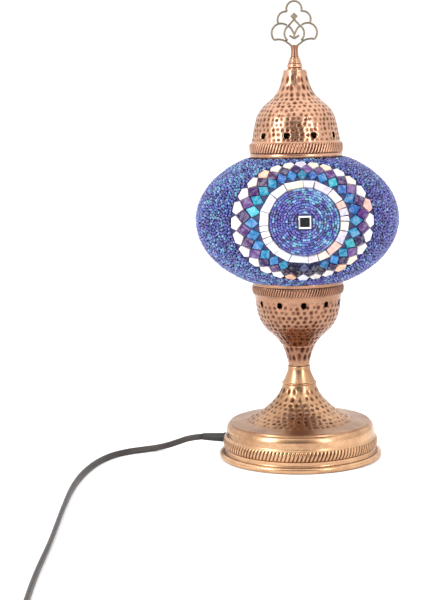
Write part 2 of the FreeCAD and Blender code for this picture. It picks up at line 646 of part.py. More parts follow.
coil = drum(COIL_OUT, 0.05, COIL_HEIGHT, COIL_IN)
coil = coil.makeFillet(3.0, [e for e in coil.Edges if e.Length > 20 and len(e.Vertexes) == 1])
coil = moved(coil, COIL_AT.x, COIL_AT.y, 0)
TIE_THICK = 1.0
tie = box(COIL_IN - 0.5 - TIE_THICK, COIL_OUT + 0.1 + TIE_THICK, -4, 4, 0.02,
          COIL_HEIGHT + 0.1 + TIE_THICK)
tie_hole = box(COIL_IN - 0.5, COIL_OUT + 0.1, -5, 5, 1.0, COIL_HEIGHT + 0.1)
TIE_TURN = 75.0
tie_ring = moved(turn(tie.cut(tie_hole), TIE_TURN), COIL_AT.x, COIL_AT.y, 0)
coil_gap = moved(turn(box(COIL_IN - 3, COIL_OUT + 3, -4.2, 4.2, -1, 1.1), TIE_TURN),
                 COIL_AT.x, COIL_AT.y, 0)
save("cord_coil", coil.cut(coil_gap))
save("cord_tie", tie_ring)

SWITCH_LONG = 64.0
SWITCH_WIDE = 27.0
SWITCH_SPLIT = 7.0
SWITCH_HIGH = 15.0
SWITCH_WALL = 1.8
switch_middle = Vector(-160.9, -457.0, 0)
SWITCH_SKEW = math.degrees(math.atan2(-489.0 + 425.0, -160.2 + 161.6))


def placed_switch(shape):
    """Turn a switch piece made along +X onto the lead, and set it on the table."""
    return moved(turn(shape, SWITCH_SKEW), switch_middle.x, switch_middle.y, 0)


def switch_half(low, high, wall_low, wall_high):
    """Half of the switch's housing: a rounded box, hollow inside."""
    half_x, half_y = SWITCH_LONG / 2, SWITCH_WIDE / 2
    outer = box(-half_x, half_x, -half_y, half_y, low, high)
    outer = outer.makeFillet(7.0, [e for e in outer.Edges if abs(e.tangentAt(e.FirstParameter).z) > 0.9])
    inner = box(-half_x + 8.0, half_x - 8.0, -half_y + SWITCH_WALL, half_y - SWITCH_WALL,
                wall_low, wall_high)
    return outer.cut(inner)


ROCKER_LONG = 19.0
ROCKER_WIDE = 9.6
PIVOT_Z = 11.5
PIVOT_R = 1.2
ROCKER_TILT = 7.0         # the rocker rests this far over on its off side
SWITCH_SCREWS = ((-27.0, 9.0), (27.0, -9.0))
base_half = switch_half(0.05, SWITCH_SPLIT, SWITCH_WALL, SWITCH_SPLIT + 1)
cover_half = switch_half(SWITCH_SPLIT + 0.05, SWITCH_HIGH, SWITCH_SPLIT - 1,
                         SWITCH_HIGH - SWITCH_WALL)
cover_half = cover_half.cut(box(-ROCKER_LONG / 2 - 1.2, ROCKER_LONG / 2 + 1.2,
                                -ROCKER_WIDE / 2 - 0.5, ROCKER_WIDE / 2 + 0.5, 10, 20))
for side in (-1, 1):
    lug = box(-2.4, 2.4, min(side * 5.6, side * 6.8), max(side * 5.6, side * 6.8), 9.4,
              SWITCH_HIGH - SWITCH_WALL + 0.1)
    lug = lug.cut(rod(Vector(0, -9, PIVOT_Z), Vector(0, 9, PIVOT_Z), PIVOT_R + 0.05))
    cover_half = cover_half.fuse(lug)
screws = []
for x, y in SWITCH_SCREWS:
    cover_half = cover_half.cut(Part.makeCylinder(1.6, 20, Vector(x, y, 2)))
    cover_half = cover_half.cut(Part.makeCylinder(2.9, 4, Vector(x, y, 13.0)))
    base_half = base_half.cut(Part.makeCylinder(1.6, 20, Vector(x, y, 2)))
    screws.append(Part.makeCylinder(1.5, 10.4, Vector(x, y, 2.4)).fuse(
        Part.makeCylinder(2.7, 1.6, Vector(x, y, 12.9 + 0.15))))
save("switch_base", placed_switch(base_half))
save("switch_cover", placed_switch(cover_half))
save("switch_screws", [placed_switch(s) for s in screws])

rocker_face = edges([(-ROCKER_LONG / 2, 13.6), (-ROCKER_LONG / 2, 16.4), (0, 15.4),
                     (ROCKER_LONG / 2, 16.4), (ROCKER_LONG / 2, 13.6), (3.0, 10.0), (-3.0, 10.0),
                     (-ROCKER_LONG / 2, 13.6)])
rocker = Part.Face(Part.Wire(rocker_face)).extrude(Vector(0, ROCKER_WIDE, 0))
rocker = moved(rocker, 0, -ROCKER_WIDE / 2, 0)
pin_half = ROCKER_WIDE / 2 + 1.9
rocker = rocker.fuse(rod(Vector(0, -pin_half, PIVOT_Z), Vector(0, pin_half, PIVOT_Z), PIVOT_R))
rocker.rotate(Vector(0, 0, PIVOT_Z), Vector(0, 1, 0), -ROCKER_TILT)
save("switch_rocker", placed_switch(rocker.removeSplitter()))
save("switch_contacts", [placed_switch(box(x - 4, x + 4, -3, 3, 2.2, 5.4)) for x in (-14, 14)])

PLUG_TURN = 9.8


def placed_plug(shape):
    """Turn a plug piece made along +X onto the end of the lead."""
    return moved(turn(shape, PLUG_TURN), LEAD_TAIL[-1][0], LEAD_TAIL[-1][1], 0)


PLUG_Z = 6.9
PLUG_LONG = 35.3
PIN_SPREAD = 9.3
PIN_R = 2.0
SHANK_R = 1.5             # the pins are thinner inside the plug
plug_outline = [(0, -4.2), (10, -5.4), (17, -11.0), (28, -13.1), (PLUG_LONG, -13.1),
                (PLUG_LONG, 13.1), (28, 13.1), (17, 11.0), (10, 5.4), (0, 4.2), (0, -4.2)]
plug_face = Part.Face(Part.makePolygon([Vector(x, y, 0.1) for x, y in plug_outline]))
plug = plug_face.extrude(Vector(0, 0, 13.7))
plug = plug.cut(box(-1, 17.5, -20, 20, 11.8, 20))
for side in (-1, 1):
    plug = plug.cut(rod(Vector(PLUG_LONG - 9, side * PIN_SPREAD, PLUG_Z),
                        Vector(PLUG_LONG + 1, side * PIN_SPREAD, PLUG_Z), SHANK_R + 0.02))
save("plug_body", placed_plug(plug))
PIN_START = PLUG_LONG + 0.1
PIN_END = PIN_START + 19.0


def pin(y):
    shank = rod(Vector(PLUG_LONG - 8.9, y, PLUG_Z), Vector(PIN_START + 1, y, PLUG_Z), SHANK_R)
    return shank.fuse(rod(Vector(PIN_START, y, PLUG_Z), Vector(PIN_END, y, PLUG_Z), PIN_R))


save("plug_pins", [placed_plug(pin(side * PIN_SPREAD)) for side in (-1, 1)])
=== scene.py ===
import itertools
import math
import random

import bpy
import numpy as np
from mathutils import Matrix, Vector


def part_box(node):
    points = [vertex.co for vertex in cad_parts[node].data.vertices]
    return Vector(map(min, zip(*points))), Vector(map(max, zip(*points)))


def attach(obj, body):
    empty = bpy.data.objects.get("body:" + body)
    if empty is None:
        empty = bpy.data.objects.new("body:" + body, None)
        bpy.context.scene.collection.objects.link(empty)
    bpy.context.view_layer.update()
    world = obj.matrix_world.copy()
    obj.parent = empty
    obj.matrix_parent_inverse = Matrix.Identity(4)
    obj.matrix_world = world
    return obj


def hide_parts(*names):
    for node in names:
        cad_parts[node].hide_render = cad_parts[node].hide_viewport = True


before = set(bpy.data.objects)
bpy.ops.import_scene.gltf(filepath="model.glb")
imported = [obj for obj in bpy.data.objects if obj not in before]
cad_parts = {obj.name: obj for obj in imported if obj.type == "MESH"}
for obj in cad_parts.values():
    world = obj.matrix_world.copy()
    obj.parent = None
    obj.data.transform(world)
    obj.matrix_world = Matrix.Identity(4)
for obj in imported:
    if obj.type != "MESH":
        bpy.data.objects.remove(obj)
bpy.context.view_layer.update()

# Sizes are in millimetres, as in the part's own drawing, and MM turns them into metres.
MM = 0.001
TAU = 2 * math.pi

# Heights of the pieces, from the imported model
NECK_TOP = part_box("cup_shell")[0][2] / MM
CAP_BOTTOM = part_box("dome_shell")[0][2] / MM
CAP_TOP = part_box("dome_shell")[1][2] / MM
SLEEVE_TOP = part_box("finial_sleeve")[1][2] / MM
GLOBE_Z = (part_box("glass_globe")[0][2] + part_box("glass_globe")[1][2]) / 2 / MM

# The globe and its medallions, as the part has them
GLASS_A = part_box("glass_globe")[1][0] / MM
GLASS_B = 56.6
BED = 1.0                 # thickness of the grout
SKIN_A = GLASS_A + BED
SKIN_B = GLASS_B + BED
LOWER_SKIN_R = 39.6       # the grout's edges at the globe's two openings
UPPER_SKIN_R = 40.0
MEDALLIONS = 2            # one in front and one behind
FIRST_MEDALLION = 4.2     # degrees round from the front
RAISED = math.radians(3.3)   # how far above the globe's middle level their middles are
MIRROR = 10.0
CENTRE_DISC = 28.2
WHITE_RING = (28.9, 36.4)  # the radii of the ring of long white tiles, and the tiles' widths
WHITE_WIDTHS = [3.9, 5.5, 5.5, 10.0, 13.7, 8.7, 14.7, 11.5, 13.7, 10.0, 4.3, 4.6, 4.3, 8.7, 11.5,
                15.1, 8.2, 8.4, 11.0, 10.0, 6.9]
DIAMONDS = 28
DIAMOND_HALF = 6.6
TEAL_RING = 42.7
PURPLE_RING = 50.1
EDGE_RING = 57.2
MEDALLION_EDGE = 62.4
TILE = 1.9
TILE_GAP = 0.5
TILE_LEAN = 0.05          # how far a tile leans at most, as a slope
MEDALLION_TURNS = [FIRST_MEDALLION + 360.0 * m / MEDALLIONS for m in range(MEDALLIONS)]

# Spun metal
SHELL_WALL = 0.9
BLOW_DEPTH = 0.5          # how deep the hammer's blows go
NARROW_R = 22             # the blows get longer where the piece is narrower than this
ROPE_SLANT = 19.0         # degrees that the ropes' strands lean from upright
RIB_STEPS = 8             # points across each strand
VENT_RIM = 0.75           # how far from a vent's edge corners are drawn to it
CUP_VENTS = (11, 7.5, 134.2, 2.4)     # how many, degrees round to the first, height, radius
CAP_VENTS = (10, -12.0, 274.0, 2.65)

# The lead: the route of its middle, from its bush to its plug, through the switch
CORD_WIDE = 5.4
CORD_THICK = 3.2
LEAD_RUN = [
    (-84.7, 18.0, 12.6), (-97.0, 20.3, 11.2), (-109.5, 20.8, 6.4), (-122.5, 18.2, 3.3),
    (-136.0, 12.8, 2.75), (-150.0, 5.5, 2.75), (-163.5, -9.5, 2.75), (-173.0, -35.0, 2.75),
    (-178.8, -72.0, 2.75), (-180.4, -115.0, 2.75), (-178.6, -162.0, 2.75), (-175.6, -213.0, 2.75),
    (-172.6, -265.0, 2.75), (-170.9, -318.0, 2.75), (-168.0, -365.0, 2.75), (-164.4, -400.0, 4.2),
    (-161.6, -425.0, 7.0)]
LEAD_LINK = [(-160.2, -489.0, 7.0), (-158.6, -506.0, 5.6), (-150.5, -524.0, 4.6)]
LEAD_TAIL = [(-92.0, -549.6, 5.4), (-75.0, -549.4, 5.8), (-57.0, -547.4, 6.6), (-40.0, -543.6, 6.9)]
COIL_AT = (-112.0, -514.0)
COIL_RADII = (34.4, 29.0, 23.6)      # the middles of the turns, outer ones first
COIL_LEVELS = (2.75, 8.2)
COIL_START = 223.0                   # degrees round from +X where the lead comes in
COIL_LAPS = 6
COIL_SWEEP = COIL_LAPS * 360.0 + 50.0


def srgb(red, green, blue):
    """A colour given on the 0 to 255 scale of a screen, as the linear one that shaders take."""
    def linear(value):
        value /= 255
        return value / 12.92 if value < 0.04045 else ((value + 0.055) / 1.055) ** 2.4
    return (linear(red), linear(green), linear(blue), 1.0)


def srgbs(*colours):
    return [srgb(*colour) for colour in colours]


# Meshes ---------------------------------------------------------------------------------------

def put(name, data):
    """A new object in the scene."""
    thing = bpy.data.objects.new(name, data)
    bpy.context.scene.collection.objects.link(thing)
    return thing


def add_mesh(name, vertices, faces, material, body, smooth=True):
    """A new piece from vertices in millimetres, riding on a body of the part."""
    mesh = bpy.data.meshes.new(name)
    mesh.from_pydata([tuple(v) for v in np.asarray(vertices) * MM], [], faces)
    mesh.materials.append(material)
    mesh.polygons.foreach_set("use_smooth", [smooth] * len(mesh.polygons))
    mesh.update()
    piece = put(name, mesh)
    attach(piece, body)
    return piece


def add_curve(name, kind, runs):
    """A curve of one or more splines, each through points in millimetres."""
    curve = bpy.data.curves.new(name, "CURVE")
    curve.dimensions = "3D"
    for run in runs:
        spline = curve.splines.new(kind)
        spline.points.add(len(run) - 1)
        for point, (x, y, z) in zip(spline.points, run):
            point.co = (x * MM, y * MM, z * MM, 1)
    return put(name, curve)


def paint(piece, name, values):
    """Store one number for each vertex, for the material to read."""
    layer = piece.data.attributes.new(name, "FLOAT", "POINT")
    layer.data.foreach_set("value", np.asarray(values, dtype=np.float32).ravel())


def paint_colour(piece, name, colours):
    """Store one linear colour for each vertex, for the material to read."""
    layer = piece.data.color_attributes.new(name, "FLOAT_COLOR", "POINT")
    layer.data.foreach_set("color", np.asarray(colours, dtype=np.float32).ravel())


def smooth_line(points, step):
    """A smooth line through points (r, z), as points about one step apart."""
    points = [np.array(p, float) for p in points]
    padded = [2 * points[0] - points[1]] + points + [2 * points[-1] - points[-2]]
    line = [points[0]]
    for p0, p1, p2, p3 in zip(padded, padded[1:], padded[2:], padded[3:]):
        count = max(1, round(float(np.linalg.norm(p2 - p1)) / step))
        for k in range(1, count + 1):
            t = k / count
            line.append(0.5 * (2 * p1 + (p2 - p0) * t + (2 * p0 - 5 * p1 + 4 * p2 - p3) * t * t
                               + (3 * p1 - p0 - 3 * p2 + p3) * t ** 3))
    return np.array(line)


def even_line(points, step):
    """Straight runs through points (r, z), as points about one step apart."""
    line = [np.array(points[0], float)]
    for start, end in zip(points, points[1:]):
        start, end = np.array(start, float), np.array(end, float)
        count = max(1, round(float(np.linalg.norm(end - start)) / step))
        line += [start + (end - start) * k / count for k in range(1, count + 1)]
    return np.array(line)


def normals_of(line):
    """The outward direction at each point of an outline that runs up the axis's right side."""
    along = np.gradient(line, axis=0)
    along /= np.linalg.norm(along, axis=1)[:, None]
    return np.stack([along[:, 1], -along[:, 0]], axis=1)


def grid_faces(rows, around, closed_rows=False):
    """The quads of a tube of rows, each with so many vertices around."""
    faces = []
    for i in range(rows if closed_rows else rows - 1):
        low, high = i * around, (i + 1) % rows * around
        for k in range(around):
            n = (k + 1) % around
            faces.append((low + k, low + n, high + n, high + k))
    return faces


def capped_faces(rows, around):
    """The same quads, with a face over each end of the tube."""
    last = (rows - 1) * around
    ends = [tuple(reversed(range(around))), tuple(last + k for k in range(around))]
    return grid_faces(rows, around) + ends


def turned_grid(line, around, press=None):
    """Vertices of an outline turned about the axis, pressed in along its normals."""
    angle = np.arange(around) * TAU / around
    out = normals_of(line)
    radius = np.repeat(line[:, :1], around, axis=1)
    height = np.repeat(line[:, 1:], around, axis=1)
    if press is not None:
        radius = radius - press * out[:, :1]
        height = height - press * out[:, 1:]
    return np.stack([radius * np.cos(angle), radius * np.sin(angle), height], axis=2)


def hash_of(a, b, seed):
    """A number from 0 to 1 that is always the same for the same two whole numbers."""
    value = np.sin(a * 127.1 + b * 311.7 + seed * 74.7) * 43758.5453
    return value - np.floor(value)


def hammering(line, around, pitch, row_pitch, size, seed, keep):
    """How far each point of a turned outline is hammered in, from 0 to 1.

    Blows stand in staggered rows, a pitch apart around and a row pitch apart along, and they get
    longer where the piece is narrow. keep says for each point of the outline how much shows."""
    angle = np.arange(around)[None, :] * TAU / around
    steps = np.linalg.norm(np.diff(line, axis=0), axis=1)
    stretch = 1 + np.clip((NARROW_R - line[:, 0]) / 14, 0, 1) * 1.1
    along = np.concatenate([[0], np.cumsum(steps / stretch[1:])])
    radius = line[:, 0]
    pressed = np.zeros((len(line), around))
    for offset in (-1, 0, 1, 2):
        row = np.floor(along / row_pitch)[:, None] + offset
        row_r = np.interp(row * row_pitch, along, radius)
        count = np.maximum(8, np.round(TAU * row_r / pitch))
        shift = hash_of(row, 3.0, seed)
        nearest = np.round(angle / TAU * count - shift)
        index = np.mod(nearest, count)
        sway = (hash_of(index, row, seed + 1) - 0.5) * 0.34
        drift = (hash_of(index, row, seed + 2) - 0.5) * 0.30 * row_pitch
        reach = size * (0.82 + 0.34 * hash_of(index, row, seed + 3))
        strength = 0.5 + 0.5 * hash_of(index, row, seed + 4)
        across = (angle / TAU * count - shift - nearest - sway) / count * TAU * radius[:, None]
        up = along[:, None] - row * row_pitch - drift
        pit = np.clip(1 - (across ** 2 + up ** 2) / reach ** 2, 0, 1) ** 1.1 * strength
        pressed = np.maximum(pressed, pit)
    return pressed * np.asarray(keep)[:, None]


def copper_piece(name, vertices, faces, patina_and_shade, body, metal):
    """A piece of antiqued copper, with how dark each vertex is, from 0 to 1: its patina, and painted
    shade at the base's crease.
    """
    piece = add_mesh(name, vertices, faces, metal, body)
    paint(piece, "patina_and_shade", patina_and_shade)
    return piece


def spun_shell(name, line, pressed, darkening, body, metal):
    """A shell of spun metal: its hammered outside, and a plain inside a wall further in."""
    around = pressed.shape[1]
    inside = (line - normals_of(line) * SHELL_WALL)[::-4]
    outer = turned_grid(line, around, pressed * BLOW_DEPTH)
    vertices = np.concatenate([outer, turned_grid(inside, around)]).reshape(-1, 3)
    # The blows' patina, and the darkening by height, which is painted shade at the base's crease.
    patina_and_shade = np.maximum(pressed, np.asarray(darkening)[:, None])
    patina_and_shade = np.concatenate([patina_and_shade, np.full((len(inside), around), 0.6)])
    faces = grid_faces(len(line) + len(inside), around, True)
    return copper_piece(name, vertices, faces, patina_and_shade, body, metal)


def rope_band(name, outline, inner_r, ribs, depth, body, metal):
    """A rope-knurled band: slanting rounded strands with sharp furrows between them.

    The outline's points (r, z) are the strands' tops."""
    line = smooth_line(outline, 0.62)
    around = ribs * RIB_STEPS
    angle = np.arange(around)[None, :] * TAU / around
    lean = math.tan(math.radians(ROPE_SLANT)) / line[:, 0].max()
    phase = ribs / TAU * (angle - lean * (line[:, 1:] - line[0, 1]))
    across = 2 * (phase - np.floor(phase)) - 1
    strand = np.sqrt(np.clip(1 - across ** 2, 0, 1))
    fade = fading(line, line[0, 1], line[-1, 1], 1.2)[:, None]
    outer = turned_grid(line, around, depth * (1 - strand) * fade)
    inner = turned_grid(np.array([[inner_r, line[-1, 1]], [inner_r, line[0, 1]]]), around)
    furrow = np.abs(across) ** 2.4 * 1.15 * fade ** 0.3
    return copper_piece(name, np.concatenate([outer, inner]).reshape(-1, 3),
                        grid_faces(len(line) + 2, around, True),
                        np.concatenate([furrow, np.full((2, around), 0.5)]), body, metal)


# Materials ------------------------------------------------------------------------------------

def new_material(name, colour, roughness, metallic=0.0, **sockets):
    """A material with its shader's plain values set on its own sockets."""
    material = bpy.data.materials.new(name)
    material.use_nodes = True
    shader = material.node_tree.nodes["Principled BSDF"]
    shader.inputs["Base Color"].default_value = colour
    shader.inputs["Roughness"].default_value = roughness
    shader.inputs["Metallic"].default_value = metallic
    for socket, value in sockets.items():
        shader.inputs[socket.replace("_", " ")].default_value = value
    return material


class Nodes:
    """Short ways to add and join the nodes of a material or a world."""

    def __init__(self, owner):
        self.tree = owner.node_tree
        self.shader = self.tree.nodes.get("Principled BSDF")

    def add(self, kind, **values):
        node = self.tree.nodes.new(kind)
        for key, value in values.items():
            setattr(node, key, value)
        return node

    def join(self, start, end):
        self.tree.links.new(start, end)

    def noise(self, scale, detail=3.0, roughness=0.5):
        node = self.add("ShaderNodeTexNoise")
        node.inputs["Scale"].default_value = scale
        node.inputs["Detail"].default_value = detail
        node.inputs["Roughness"].default_value = roughness
        self.join(self.add("ShaderNodeTexCoord").outputs["Object"], node.inputs["Vector"])
        return node.outputs["Fac"]

    def attribute(self, name, output="Fac"):
        return self.add("ShaderNodeAttribute", attribute_name=name).outputs[output]

    def ramp(self, value, stops):
        """Colours along a value, from (position, colour) stops."""
        node = self.add("ShaderNodeValToRGB")
        points = node.color_ramp.elements
        while len(points) < len(stops):
            points.new(0.5)
        for point, (position, colour) in zip(points, stops):
            point.position = position
            point.color = colour
        self.join(value, node.inputs["Fac"])
        return node.outputs["Color"]

    def tint(self, factor, source, colour):
        """A colour source mixed with one plain colour."""
        node = self.add("ShaderNodeMix", data_type="RGBA")
        self.join(factor, node.inputs[0])
        self.join(source, node.inputs[6])
        node.inputs[7].default_value = colour
        return node.outputs[2]

    def total(self, first, second):
        node = self.add("ShaderNodeMath", operation="ADD")
        self.join(first, node.inputs[0])
        self.join(second, node.inputs[1])
        return node.outputs[0]

    def spread(self, value, low, high, new_low, new_high):
        """A value moved from one range to another, and kept inside it."""
        node = self.add("ShaderNodeMapRange")
        self.join(value, node.inputs["Value"])
        for socket, number in zip(("From Min", "From Max", "To Min", "To Max"),
                                  (low, high, new_low, new_high)):
            node.inputs[socket].default_value = number
        return node.outputs["Result"]

    def colour(self, source):
        self.join(source, self.shader.inputs["Base Color"])

    def roughness(self, source):
        self.join(source, self.shader.inputs["Roughness"])

    def bump(self, height, strength, distance):
        node = self.add("ShaderNodeBump")
        node.inputs["Strength"].default_value = strength
        node.inputs["Distance"].default_value = distance
        self.join(height, node.inputs["Height"])
        self.join(node.outputs["Normal"], self.shader.inputs["Normal"])


def copper_material(name, bright, middle, dark):
    """Antiqued copper plate: dark in the blows and furrows, rubbed bright between them."""
    material = new_material(name, middle, 0.3, 1.0)
    nodes = Nodes(material)
    clouds = nodes.noise(38.0, 5.0, 0.6)
    fine = nodes.noise(420.0, 3.0, 0.6)
    # The stored darkness is patina, and painted shade at the base's crease.
    age_and_shade = nodes.total(nodes.attribute("patina_and_shade"), nodes.spread(clouds, 0.3, 0.7, -0.16, 0.2))
    age_and_shade = nodes.total(age_and_shade, nodes.spread(fine, 0.3, 0.7, -0.05, 0.05))
    nodes.colour(nodes.ramp(age_and_shade, [(0.0, bright), (0.3, middle), (0.85, dark)]))
    nodes.roughness(nodes.spread(age_and_shade, 0.0, 1.0, 0.24, 0.5))
    nodes.bump(fine, 0.12, 0.0002)
    return material


copper = copper_material("base_copper", srgb(208, 166, 128), srgb(168, 127, 96), srgb(78, 45, 30))
cup_copper = copper_material("cup_copper", srgb(166, 125, 101), srgb(131, 93, 75), srgb(72, 42, 31))
cap_copper = copper_material("cap_copper", srgb(204, 158, 130), srgb(160, 118, 95), srgb(80, 46, 33))


def plain_metal(name, colour, roughness, grain):
    """Plated or turned metal with a fine grain and a little tarnish."""
    material = new_material(name, colour, roughness, 1.0)
    nodes = Nodes(material)
    darkening = nodes.noise(60.0, 4.0, 0.6)
    dull = tuple(0.6 * c for c in colour[:3]) + (1.0,)
    nodes.colour(nodes.ramp(darkening, [(0.35, colour), (0.75, dull)]))
    nodes.roughness(nodes.spread(darkening, 0.3, 0.7, roughness * 0.8, roughness * 1.4))
    nodes.bump(nodes.noise(grain, 2.0), 0.1, 0.0001)
    return material


brass = plain_metal("antique_brass", srgb(142, 128, 110), 0.38, 900.0)
steel = plain_metal("zinc_steel", srgb(196, 197, 198), 0.3, 1200.0)
nickel = plain_metal("nickel", srgb(214, 210, 202), 0.2, 1500.0)
solder = plain_metal("solder", srgb(180, 180, 182), 0.45, 800.0)


def rough_material(name, colour, second, roughness, scale, bump, distance):
    """A plain stuff in two close colours, with a grain."""
    colour, second = srgbs(colour, second)
    material = new_material(name, colour, roughness)
    nodes = Nodes(material)
    nodes.colour(nodes.ramp(nodes.noise(scale * 0.2, 4.0), [(0.3, colour), (0.7, second)]))
    nodes.bump(nodes.noise(scale, 3.0, 0.6), bump, distance)
    return material


# name: two close colours, roughness, the grain's scale, its strength and its depth in metres
STUFFS = {
    "cast_weight": ((52, 52, 55), (34, 34, 36), 0.6, 500.0, 0.5, 0.0006),
    "green_felt": ((22, 62, 44), (30, 76, 54), 0.95, 2600.0, 0.6, 0.0006),
    "black_rubber": ((30, 28, 27), (38, 35, 33), 0.55, 900.0, 0.1, 0.0002),
    "cord_pvc": ((44, 40, 38), (58, 50, 46), 0.5, 700.0, 0.08, 0.0002),
    "black_plastic": ((34, 34, 35), (40, 40, 41), 0.38, 1400.0, 0.12, 0.0001),
    "holder_plastic": ((36, 33, 30), (44, 38, 33), 0.22, 600.0, 0.05, 0.0001),
    "steatite": ((232, 224, 200), (220, 208, 178), 0.6, 900.0, 0.2, 0.0002),
    "black_glass": ((18, 18, 22), (26, 24, 30), 0.12, 400.0, 0.03, 0.0001),
    "grout": ((40, 40, 78), (62, 62, 104), 0.7, 1500.0, 0.5, 0.0004),
}
stuff = {name: rough_material(name, *values) for name, values in STUFFS.items()}


clear_glass = new_material("clear_glass", (0.95, 0.97, 0.98, 1.0), 0.03, Transmission_Weight=1.0,
                           IOR=1.5)
glass_nodes = Nodes(clear_glass)
glass_nodes.bump(glass_nodes.noise(30.0, 2.0), 0.05, 0.0004)


def coloured_glass(name, roughness, clouding, coat, gloss):
    """Cut or pressed glass in the colour stored on each piece, with streaks and clouds in it."""
    material = new_material(name, srgb(60, 80, 190), roughness, Coat_Weight=coat,
                            Coat_Roughness=0.06, IOR=1.52, Specular_IOR_Level=gloss)
    nodes = Nodes(material)
    own = nodes.attribute("glass_colour", "Color")
    streaks = nodes.noise(clouding, 4.0, 0.65)
    light = nodes.tint(nodes.spread(streaks, 0.45, 0.8, 0.0, 0.22), own, (1.0, 1.0, 1.0, 1.0))
    deep = nodes.tint(nodes.spread(streaks, 0.2, 0.48, 0.45, 0.0), light, srgb(20, 20, 60))
    nodes.colour(deep)
    nodes.bump(streaks, 0.15, 0.0003)
    return material


tile_glass = coloured_glass("tile_glass", 0.22, 260.0, 0.0, 0.14)
bead_glass = coloured_glass("bead_glass", 0.2, 500.0, 0.3, 0.28)

mirror = new_material("mirror", (0.9, 0.91, 0.92, 1.0), 0.03, 1.0)
mirror_nodes = Nodes(mirror)
spots = mirror_nodes.noise(240.0, 4.0, 0.7)
mirror_nodes.roughness(mirror_nodes.spread(spots, 0.55, 0.75, 0.02, 0.25))


# Metal pieces ---------------------------------------------------------------------------------

def fading(line, low, high, soft):
    """1 at each point of an outline between two heights, fading softly to 0 beyond them."""
    z = line[:, 1]
    return np.clip((z - low) / soft, 0, 1) * np.clip((high - z) / soft, 0, 1)


BASE_NECK = [(14.0, 64.6), (11.8, 69.2), (9.9, 74.2), (9.4, NECK_TOP)]
BASE_CONE = [(46.0, 31.9), (33.6, 38.4), (25.8, 44.8), (19.5, 51.6), (15.7, 58.0), (14.3, 63.2)]


def base_pieces():
    """The base: rim, shoulder and grooves, flaring hammered cone, ringed neck, and its band."""
    rim = even_line([(64.2, 0.45), (68.0, 0.45)], 1.0)
    roll = smooth_line([(68.0, 0.45), (69.2, 1.6), (69.3, 2.8), (69.0, 4.2), (67.6, 5.3)], 0.5)
    strip = even_line([(67.3, 5.35), (66.9, 4.9), (65.0, 5.1), (64.7, 5.8), (64.6, 18.0),
                       (63.7, 18.7)], 0.9)
    shoulder = smooth_line([(63.5, 19.0), (63.3, 22.4), (63.1, 25.2), (62.2, 27.6), (61.3, 28.6),
                            (60.7, 28.8), (60.4, 29.1), (60.1, 30.0), (59.6, 30.5),
                            (58.6, 30.55)], 0.45)
    disc = even_line([(58.2, 30.5), (47.0, 31.75)], 1.0)
    cone = smooth_line(BASE_CONE, 0.62)
    ring = smooth_line([(14.7, 63.5), (14.9, 64.0), (14.5, 64.5)], 0.3)
    neck = smooth_line(BASE_NECK, 0.8)
    line = np.concatenate([rim, roll, strip, shoulder, disc, cone, ring, neck])
    keep = fading(line, 31.4, 62.7, 1.5) * (line[:, 0] < 47)
    pressed = hammering(line, 520, pitch=5.6, row_pitch=4.6, size=2.2, seed=11, keep=keep)
    # Darker by height: least at the rim, most at the crease where the shoulder meets the flat disc,
    # which is painted shade there, and a little up the cone and neck.
    darkening = np.interp(line[:, 1], [18.0, 28.0, 30.0, 45.0, 60.0, 78.0],
                        [0.05, 0.12, 0.34, 0.2, 0.16, 0.22])
    shell = spun_shell("base_hammered_shell", line, pressed, darkening, "root", copper)
    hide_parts("base_shell")
    rope = [(64.7, 8.8), (65.6, 10.2), (66.0, 13.4), (65.6, 16.5), (64.6, 18.0)]
    rope_band("base_rope_band", rope, inner_r=64.0, ribs=124, depth=0.95, body="root",
              metal=copper)


def cut_vents(grid, line, count, first, z, radius):
    """Round vents in a turned grid: its corners, drawn to the vents' edges, and those inside."""
    flat = grid.reshape(-1, 3)
    wall_r = float(np.interp(z, line[:, 1], line[:, 0]))
    inside = np.zeros(len(flat), bool)
    for k in range(count):
        a = math.radians(first + 360.0 * k / count)
        centre = np.array([wall_r * math.sin(a), -wall_r * math.cos(a), z])
        side = np.array([-centre[1], centre[0], 0]) / wall_r
        across = (flat - centre) @ side
        up = flat[:, 2] - z
        near = (flat[:, :2] @ centre[:2]) > 0
        distance = np.hypot(across, up)
        inside |= near & (distance < radius)
        rim = near & (distance >= radius) & (distance < radius + VENT_RIM)
        scale = np.where(rim, radius / np.maximum(distance, 0.01), 1.0)
        shift = (across * (scale - 1))[:, None] * side
        flat = flat + shift * rim[:, None]
        flat[:, 2] = np.where(rim, z + up * scale, flat[:, 2])
    return flat, inside


def pierced_shell(name, line, pressed, vents, body, metal):
    """A hammered shell with round vents: one skin with holes, thickened inwards."""
    around = pressed.shape[1]
    flat, inside = cut_vents(turned_grid(line, around, pressed * BLOW_DEPTH), line, *vents)
    faces = [f for f in grid_faces(len(line), around) if not any(inside[v] for v in f)]
    used = sorted({v for f in faces for v in f})
    renumber = {old: new for new, old in enumerate(used)}
    faces = [tuple(renumber[v] for v in f) for f in faces]
    piece = copper_piece(name, flat[used], faces, pressed.reshape(-1)[used], body, metal)
    thick = piece.modifiers.new("wall", "SOLIDIFY")
    thick.thickness = SHELL_WALL * MM
    thick.offset = -1.0
    return piece


CUP_WALL = [(8.9, NECK_TOP), (9.7, 83.4), (11.6, 90.0), (14.6, 97.0), (19.9, 103.7),
            (27.1, 110.4), (31.8, 117.0), (34.5, 124.0), (35.8, 131.0), (36.4, 137.5)]


